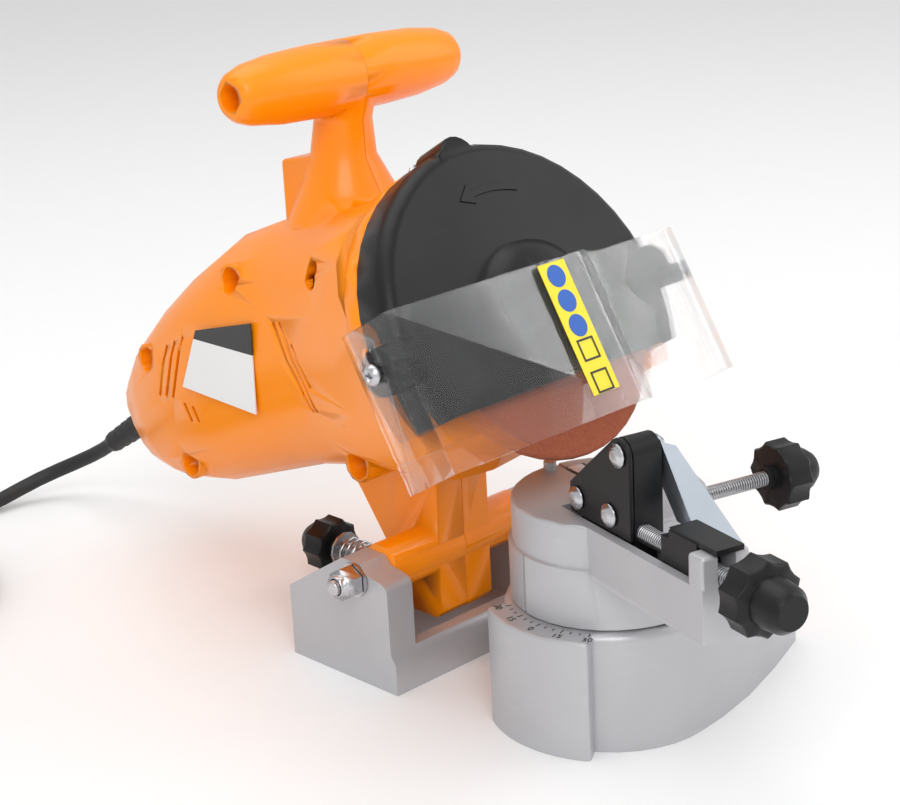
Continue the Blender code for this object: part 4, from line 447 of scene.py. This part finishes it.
@dataclass
class MachinedPieces:
    """The CAD pieces with merged, rounded and smoothly shaded surfaces."""

    wardrobe: Wardrobe
    smooth_angle: float = math.radians(38.0)
    shell_angle: float = math.radians(34.0)
    merge: float = 0.002 * MM
    soft_nodes: tuple[str, ...] = (
        "base_casting", "vise_casting", "clamp_knob", "feed_knob", "depth_knob",
        "carriage_block", "carriage_cheek", "screw_bracket")
    soft_width: float = 0.35 * MM
    skipped: tuple[str, ...] = ("cord_lead", "cord_coil")

    def copy(self, node: str) -> bpy.types.Object:
        """Copies a node's mesh into a piece that stands for it.

        Args:
            node: The CAD node.

        Returns:
            The new piece, merged, but not yet shaded.
        """
        piece = bpy.data.objects.new(f"{node}_finished", frame["nodes"][node].data.copy())
        link(piece)
        only(piece)
        bpy.ops.object.mode_set(mode="EDIT")
        bpy.ops.mesh.select_all(action="SELECT")
        bpy.ops.mesh.remove_doubles(threshold=self.merge)
        bpy.ops.object.mode_set(mode="OBJECT")
        return piece

    def build(self) -> None:
        """Makes a finished piece for every node but the cord's."""
        for node in sorted(frame["nodes"]):
            if node in self.skipped:
                continue
            piece = self.copy(node)
            if node in self.soft_nodes:
                bevel(piece, self.soft_width)
            if node in RECESSED:
                Recess(RECESSED[node]).cut(piece)
            only(piece)
            angle = self.shell_angle if "shell" in node else self.smooth_angle
            bpy.ops.object.shade_smooth_by_angle(angle=angle)
            level = piece.modifiers.new("level_shading", "WEIGHTED_NORMAL")
            level.keep_sharp = True
            bpy.ops.object.modifier_apply(modifier=level.name)
            self.wardrobe.dress(piece, THREADED.get(node, FINISHES[slot_with(node)]))
            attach(piece, body_with(node))
            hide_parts(node)
            LOG.info("finished %s on %s", node, body_with(node))


RECESSED = {
    **{f"housing_screw_{index}": Side.ACROSS for index in range(1, 7)},
    **{f"cheek_screw_{index}": Side.ARM for index in range(1, 4)},
    "left_visor_screw": Side.ACROSS, "right_visor_screw": Side.ACROSS,
    "guard_screw_1": Side.MOTOR, "guard_screw_2": Side.MOTOR,
}


@dataclass
class Recess:
    """The cross recess in a screw's head."""

    side: Side
    width: float = 0.8 * MM
    depth: float = 1.1 * MM
    reach: float = 0.62
    end_depth: float = 0.9 * MM

    def cut(self, piece: bpy.types.Object) -> None:
        """Cuts the cross into the wider end of a screw.

        Args:
            piece: The screw.
        """
        axis = Vector(self.side.value)
        points = [vertex.co.copy() for vertex in piece.data.vertices]
        middle = sum(points, Vector()) / len(points)
        marks = [(point - middle).dot(axis) for point in points]
        ends = []
        for sign in (-1.0, 1.0):
            tip = max(sign * mark for mark in marks)
            rim = [point for point, mark in zip(points, marks) if tip - sign * mark < self.end_depth]
            hub = sum(rim, Vector()) / len(rim)
            ends.append((max((point - hub).length for point in rim), sign, tip, hub))
        radius, sign, tip, hub = max(ends)
        top = hub + axis * sign * (tip - sign * (hub - middle).dot(axis))
        turn = (axis * sign).to_track_quat("Z", "Y")
        for quarter in (0.0, math.pi / 2):
            bpy.ops.object.select_all(action="DESELECT")
            bpy.ops.mesh.primitive_cube_add(size=1.0)
            cutter = bpy.context.object
            size = (radius * 2 * self.reach, self.width, self.depth * 2, 1.0)
            cutter.matrix_world = (Matrix.Translation(top) @ turn.to_matrix().to_4x4()
                                   @ Matrix.Rotation(quarter, 4, "Z") @ Matrix.Diagonal(size))
            settle(cutter)
            only(piece)
            slot = piece.modifiers.new("recess", "BOOLEAN")
            slot.operation, slot.solver, slot.object = "DIFFERENCE", "EXACT", cutter
            bpy.ops.object.modifier_apply(modifier=slot.name)
            bpy.data.objects.remove(cutter)


@dataclass
class Camera:
    """The photograph's camera, turned so that its view needs no lens shift."""

    azimuth: float = math.radians(-47.82)
    elevation: float = math.radians(18.92)
    roll: float = math.radians(-1.6)
    distance: float = 667.65 * MM
    target: tuple[float, float, float] = (-5.6 * MM, 0.0, 109.12 * MM)
    focal_px: float = 2059.41
    aim_px: tuple[float, float] = (-145.0, 1.46)
    frame_px: float = 900.0
    sensor_mm: float = 36.0
    near: float = 0.01
    far: float = 50.0

    def build(self) -> bpy.types.Object:
        """Makes the camera and sets it as the scene's.

        Returns:
            The camera.
        """
        back = Vector((math.sin(self.azimuth) * math.cos(self.elevation),
                       -math.cos(self.azimuth) * math.cos(self.elevation), math.sin(self.elevation)))
        right = Vector((math.cos(self.azimuth), math.sin(self.azimuth), 0.0))
        rise = right.cross(-back)
        side = right * math.cos(self.roll) + rise * math.sin(self.roll)
        top = -right * math.sin(self.roll) + rise * math.cos(self.roll)
        aim = (-back * self.focal_px + side * self.aim_px[0] + top * self.aim_px[1]).normalized()
        side = aim.cross(top).normalized()
        top = side.cross(aim)
        data = bpy.data.cameras.new("photo_camera")
        data.sensor_width = self.sensor_mm
        data.lens = self.focal_px * data.sensor_width / self.frame_px
        data.clip_start, data.clip_end = self.near, self.far
        camera = bpy.data.objects.new("photo_camera", data)
        turn = Matrix((side, top, -aim)).transposed().to_4x4()
        camera.matrix_world = Matrix.Translation(Vector(self.target) + back * self.distance) @ turn
        link(camera)
        bpy.context.scene.camera = camera
        return camera


@dataclass
class Cord:
    """The lead, its put-away coil and its tail, as one curve."""

    wardrobe: Wardrobe
    radius: float = 3.1 * MM
    centre: tuple[float, float] = (-128.0 * MM, 276.6 * MM)
    inner: float = 24.9 * MM
    pitch: float = 7.0 * MM
    turns: float = 3.5
    steps: int = 24
    lift: float = 1.7 * MM
    tail: float = 34.0 * MM
    tail_rise: float = 13.6 * MM
    tail_steps: int = 5
    tail_quickness: float = 1.25
    round_steps: int = 4
    route: tuple[tuple[float, float, float], ...] = (
        (0.0, .2867, .0301), (0.0, .2948, .0252), (-.0010, .3030, .0207), (-.0042, .3108, .0166),
        (-.0095, .3175, .0130), (-.0165, .3225, .0098), (-.0250, .3253, .0070), (-.0340, .3260, .0050),
        (-.0440, .3260, .0038), (-.0560, .3260, .0033), (-.0700, .3260, .0033), (-.0840, .3260, .0036),
        (-.0960, .3260, .0042), (-.1070, .3260, .0047), (-.1152, .3260, .0048))

    def at(self, radius: float, angle: float, level: float) -> tuple[float, float, float]:
        """Gives a point of the coil."""
        return (self.centre[0] + radius * math.cos(angle), self.centre[1] + radius * math.sin(angle),
                level)

    def points(self) -> list[tuple[float, float, float]]:
        """Lists the cord's centreline from the boot to the plug.

        Returns:
            The points.
        """
        points = list(self.route)
        level = self.radius + self.lift
        grow = self.pitch * self.turns
        outer = self.inner + grow
        count = int(self.turns * self.steps)
        points.append((self.centre[0] + self.radius * 2, self.centre[1] + outer, level))
        for index in range(count + 1):
            share = index / count
            points.append(self.at(outer - grow * share, math.pi / 2 + math.tau * self.turns * share, level))
        turned = math.pi / 2 + math.tau * self.turns
        climb = self.steps // 4
        for index in range(1, climb + 1):
            share = index / climb
            points.append(self.at(self.inner, turned + math.pi / 2 * share,
                                  level + self.pitch * ease(share)))
        turned += math.pi / 2
        for index in range(1, count + 1):
            share = index / count
            points.append(self.at(self.inner + grow * share, turned + math.tau * self.turns * share,
                                  level + self.pitch))
        start = points[-1]
        for index in range(1, self.tail_steps + 1):
            share = index / self.tail_steps
            risen = ease(min(1.0, share * self.tail_quickness))
            points.append((start[0], start[1] - self.tail * share,
                           start[2] + (self.tail_rise - start[2]) * risen))
        return points

    def build(self) -> None:
        """Makes the cord as a round curve."""
        points = self.points()
        data = bpy.data.curves.new("mains_cord", "CURVE")
        data.dimensions = "3D"
        data.bevel_depth = self.radius
        data.bevel_resolution = self.round_steps
        data.use_fill_caps = True
        line = data.splines.new("POLY")
        line.points.add(len(points) - 1)
        for point, place in zip(line.points, points):
            point.co = (*place, 1.0)
        line.use_smooth = True
        cord = bpy.data.objects.new("mains_cord", data)
        link(cord)
        self.wardrobe.dress(cord, FINISHES["black_rubber"])
        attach(cord, "base")
        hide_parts("cord_lead", "cord_coil")


@dataclass
class PedestalScale:
    """The printed degree scale on the pedestal's sector."""

    wardrobe: Wardrobe
    level: float = 41.6 * MM
    tick_radius: float = 36.0 * MM
    text_radius: float = 39.6 * MM
    text_size: float = 3.6 * MM
    thickness: float = 0.12 * MM
    long_tick: float = 2.2 * MM
    short_tick: float = 1.3 * MM
    tick_width: float = 0.35 * MM
    zero: float = math.radians(180.0)
    last: int = 30
    tick_every: int = 5
    number_every: int = 15

    def tick(self, degrees: int) -> None:
        """Makes one line of the scale.

        Args:
            degrees: Its reading, from the zero line.
        """
        length = self.long_tick if degrees % self.number_every == 0 else self.short_tick
        angle = self.zero + math.radians(degrees)
        bpy.ops.object.select_all(action="DESELECT")
        bpy.ops.mesh.primitive_cube_add(size=1.0)
        line = bpy.context.object
        line.name = f"scale_line_{'left' if degrees < 0 else 'right'}_{abs(degrees)}"
        line.matrix_world = (Matrix.Rotation(angle, 4, "Z")
                             @ Matrix.Translation((self.tick_radius, 0.0, self.level + self.thickness / 2))
                             @ Matrix.Diagonal((length, self.tick_width, self.thickness, 1.0)))
        settle(line)
        bevel(line, PRINT_BEVEL)
        self.place(line)

    def number(self, degrees: int) -> None:
        """Makes one number of the scale.

        Args:
            degrees: Its reading, from the zero line.
        """
        bpy.ops.object.select_all(action="DESELECT")
        bpy.ops.object.text_add()
        text = bpy.context.object
        text.data.body = str(abs(degrees))
        text.data.size = self.text_size
        text.data.align_x, text.data.align_y = "CENTER", "CENTER"
        text.data.extrude = self.thickness / 2
        bpy.ops.object.convert(target="MESH")
        text = bpy.context.object
        text.name = f"scale_number_{'left' if degrees < 0 else 'right'}_{abs(degrees)}"
        text.matrix_world = (Matrix.Rotation(self.zero + math.radians(degrees), 4, "Z")
                             @ Matrix.Translation((self.text_radius, 0.0, self.level + self.thickness / 2))
                             @ Matrix.Rotation(math.pi / 2, 4, "Z"))
        settle(text)
        self.place(text)

    def place(self, piece: bpy.types.Object) -> None:
        """Inks a mark and fixes it to the base."""
        self.wardrobe.dress(piece, INK)
        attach(piece, "base")

    def build(self) -> None:
        """Makes the whole scale."""
        for degrees in range(-self.last, self.last + 1, self.tick_every):
            self.tick(degrees)
        for degrees in range(-self.last, self.last + 1, self.number_every):
            self.number(degrees)
        LOG.info("pedestal scale")


MOTOR_MIDDLE = (0.0, 33.7 * MM, 131.4 * MM)
MOTOR_TILT = math.radians(30.6)
MOTOR_PLACE = Matrix.Translation(MOTOR_MIDDLE) @ Matrix.Rotation(math.pi / 2 - MOTOR_TILT, 4, "X")


@dataclass
class VisorMarks:
    """The plain discs and squares on the visor's strip."""

    wardrobe: Wardrobe
    middle: float = 0.25 * MM
    face: float = 19.3 * MM
    thickness: float = 0.14 * MM
    discs: tuple[float, ...] = (7.1 * MM, -1.7 * MM, -10.5 * MM)
    squares: tuple[float, ...] = (-18.9 * MM, -30.1 * MM)
    disc_radius: float = 3.9 * MM
    square_size: float = 7.6 * MM
    square_border: float = 0.7 * MM
    disc_sides: int = 40

    def place(self, mark: bpy.types.Object, name: str, height: float, finish: Finish) -> None:
        """Puts a mark on the strip and fixes it to the visor.

        Args:
            mark: The mark, made about the origin.
            name: Its name.
            height: Its place up the strip.
            finish: Its ink.
        """
        mark.name = name
        spot = (self.middle, height, self.face + self.thickness / 2)
        mark.matrix_world = MOTOR_PLACE @ Matrix.Translation(spot)
        settle(mark)
        bevel(mark, PRINT_BEVEL)
        self.wardrobe.dress(mark, finish)
        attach(mark, "visor")

    def build(self) -> None:
        """Makes the discs and the outlined squares."""
        for index, height in enumerate(self.discs):
            bpy.ops.object.select_all(action="DESELECT")
            bpy.ops.mesh.primitive_cylinder_add(vertices=self.disc_sides, radius=self.disc_radius,
                                                depth=self.thickness)
            self.place(bpy.context.object, f"visor_disc_{index + 1}", height, BLUE_INK)
        for index, height in enumerate(self.squares):
            bpy.ops.object.select_all(action="DESELECT")
            bpy.ops.mesh.primitive_plane_add(size=self.square_size)
            square = bpy.context.object
            bpy.ops.object.mode_set(mode="EDIT")
            bpy.ops.mesh.select_all(action="SELECT")
            bpy.ops.mesh.inset(thickness=self.square_border)
            bpy.ops.mesh.delete(type="FACE")
            bpy.ops.mesh.select_all(action="SELECT")
            bpy.ops.mesh.extrude_region_move(
                TRANSFORM_OT_translate={"value": (0.0, 0.0, self.thickness)})
            bpy.ops.mesh.select_all(action="SELECT")
            bpy.ops.mesh.normals_make_consistent(inside=False)
            bpy.ops.object.mode_set(mode="OBJECT")
            self.place(square, f"visor_square_{index + 1}", height, INK)
        LOG.info("visor marks")


@dataclass
class GuardArrow:
    """The raised arrow on the guard, which shows how the wheel turns."""

    wardrobe: Wardrobe
    radius: float = 44.5 * MM
    width: float = 2.6 * MM
    start: float = math.radians(72.0)
    end: float = math.radians(99.0)
    face: float = 5.6 * MM
    height: float = 0.5 * MM
    sunk: float = 0.05 * MM
    rounding: float = 0.12 * MM
    barb: float = 0.9
    tip_turn: float = math.radians(8.0)
    steps: int = 14

    def at(self, radius: float, angle: float) -> tuple[float, float, float]:
        """Gives a point of the flat arrow."""
        return (radius * math.cos(angle), radius * math.sin(angle), 0.0)

    def build(self) -> None:
        """Makes the arrow: an arc and a pointed head, listed point by point and raised."""
        steps = self.steps
        low, high = self.radius - self.width / 2, self.radius + self.width / 2
        verts: list[tuple[float, float, float]] = []
        for index in range(steps + 1):
            angle = self.start + (self.end - self.start) * index / steps
            verts += [self.at(low, angle), self.at(high, angle)]
        faces = [(i * 2, i * 2 + 1, i * 2 + 3, i * 2 + 2) for i in range(steps)]
        head = [self.at(low - self.width * self.barb, self.end),
                self.at(high + self.width * self.barb, self.end),
                self.at(self.radius, self.end + self.tip_turn)]
        base = len(verts)
        faces.append((steps * 2, base, base + 2, base + 1, steps * 2 + 1))
        mesh = bpy.data.meshes.new("guard_arrow")
        mesh.from_pydata(verts + head, [], faces)
        arrow = bpy.data.objects.new("guard_arrow", mesh)
        link(arrow)
        only(arrow)
        bpy.ops.object.mode_set(mode="EDIT")
        bpy.ops.mesh.select_all(action="SELECT")
        bpy.ops.mesh.extrude_region_move(
            TRANSFORM_OT_translate={"value": (0.0, 0.0, self.height)})
        bpy.ops.mesh.select_all(action="SELECT")
        bpy.ops.mesh.normals_make_consistent(inside=False)
        bpy.ops.object.mode_set(mode="OBJECT")
        arrow.matrix_world = MOTOR_PLACE @ Matrix.Translation((0.0, 0.0, self.face - self.sunk))
        settle(arrow)
        bevel(arrow, self.rounding)
        self.wardrobe.dress(arrow, FINISHES["black_plastic"])
        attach(arrow, "head")
        LOG.info("guard arrow")


@dataclass(frozen=True)
class Lamp:
    """One soft square lamp, with its side in metres and its power in watts."""

    name: str
    place: tuple[float, float, float]
    size: float
    power: float

    def build(self, aim: tuple[float, float, float]) -> None:
        """Hangs the lamp.

        Args:
            aim: The point that it faces.
        """
        data = bpy.data.lights.new(self.name, "AREA")
        data.size, data.energy = self.size, self.power
        lamp = bpy.data.objects.new(self.name, data)
        lamp.location = self.place
        lamp.rotation_euler = (Vector(self.place) - Vector(aim)).to_track_quat("Z", "Y").to_euler()
        link(lamp)


@dataclass
class Studio:
    """The pale floor, the soft lamps and the pale surround."""

    floor_size: float = 12.0
    floor_drop: float = 0.05 * MM
    aim: tuple[float, float, float] = (0.0, 0.08, 0.1)
    lamps: tuple[Lamp, ...] = (
        Lamp("key_lamp", (-0.9, -0.9, 1.1), 0.9, 10.5),
        Lamp("fill_lamp", (1.0, -0.7, 0.8), 1.0, 4.0),
        Lamp("top_lamp", (0.0, 0.4, 1.4), 1.2, 6.5))
    surround: tuple[float, float, float, float] = (0.95, 0.95, 0.95, 1.0)
    surround_strength: float = 0.72
    backdrop: tuple[float, float, float, float] = (1.0, 1.0, 1.0, 1.0)

    def build(self, wardrobe: Wardrobe) -> None:
        """Makes the floor, lamps and world.

        Args:
            wardrobe: The materials.
        """
        bpy.ops.object.select_all(action="DESELECT")
        bpy.ops.mesh.primitive_plane_add(size=self.floor_size, location=(0.0, 0.0, -self.floor_drop))
        floor = bpy.context.object
        floor.name = "studio_floor"
        wardrobe.dress(floor, FLOOR)
        for lamp in self.lamps:
            lamp.build(self.aim)
        world = bpy.data.worlds.new("pale_surround")
        world.use_nodes = True
        nodes, links = world.node_tree.nodes, world.node_tree.links
        light, seen = nodes["Background"], nodes.new("ShaderNodeBackground")
        path, choose = nodes.new("ShaderNodeLightPath"), nodes.new("ShaderNodeMixShader")
        light.inputs["Color"].default_value = self.surround
        light.inputs["Strength"].default_value = self.surround_strength
        seen.inputs["Color"].default_value = self.backdrop
        links.new(path.outputs["Is Camera Ray"], choose.inputs[0])
        links.new(light.outputs[0], choose.inputs[1])
        links.new(seen.outputs[0], choose.inputs[2])
        links.new(choose.outputs[0], nodes["World Output"].inputs["Surface"])
        bpy.context.scene.world = world
        bpy.context.scene.view_settings.view_transform = "Standard"


def main() -> None:
    """Builds the whole scene, the camera first."""
    logging.basicConfig(level=logging.INFO, format="%(name)s: %(message)s")
    wardrobe = Wardrobe()
    Camera().build()
    MachinedPieces(wardrobe).build()
    Cord(wardrobe).build()
    PedestalScale(wardrobe).build()
    VisorMarks(wardrobe).build()
    GuardArrow(wardrobe).build()
    Studio().build(wardrobe)


if __name__ == "__main__":
    main()
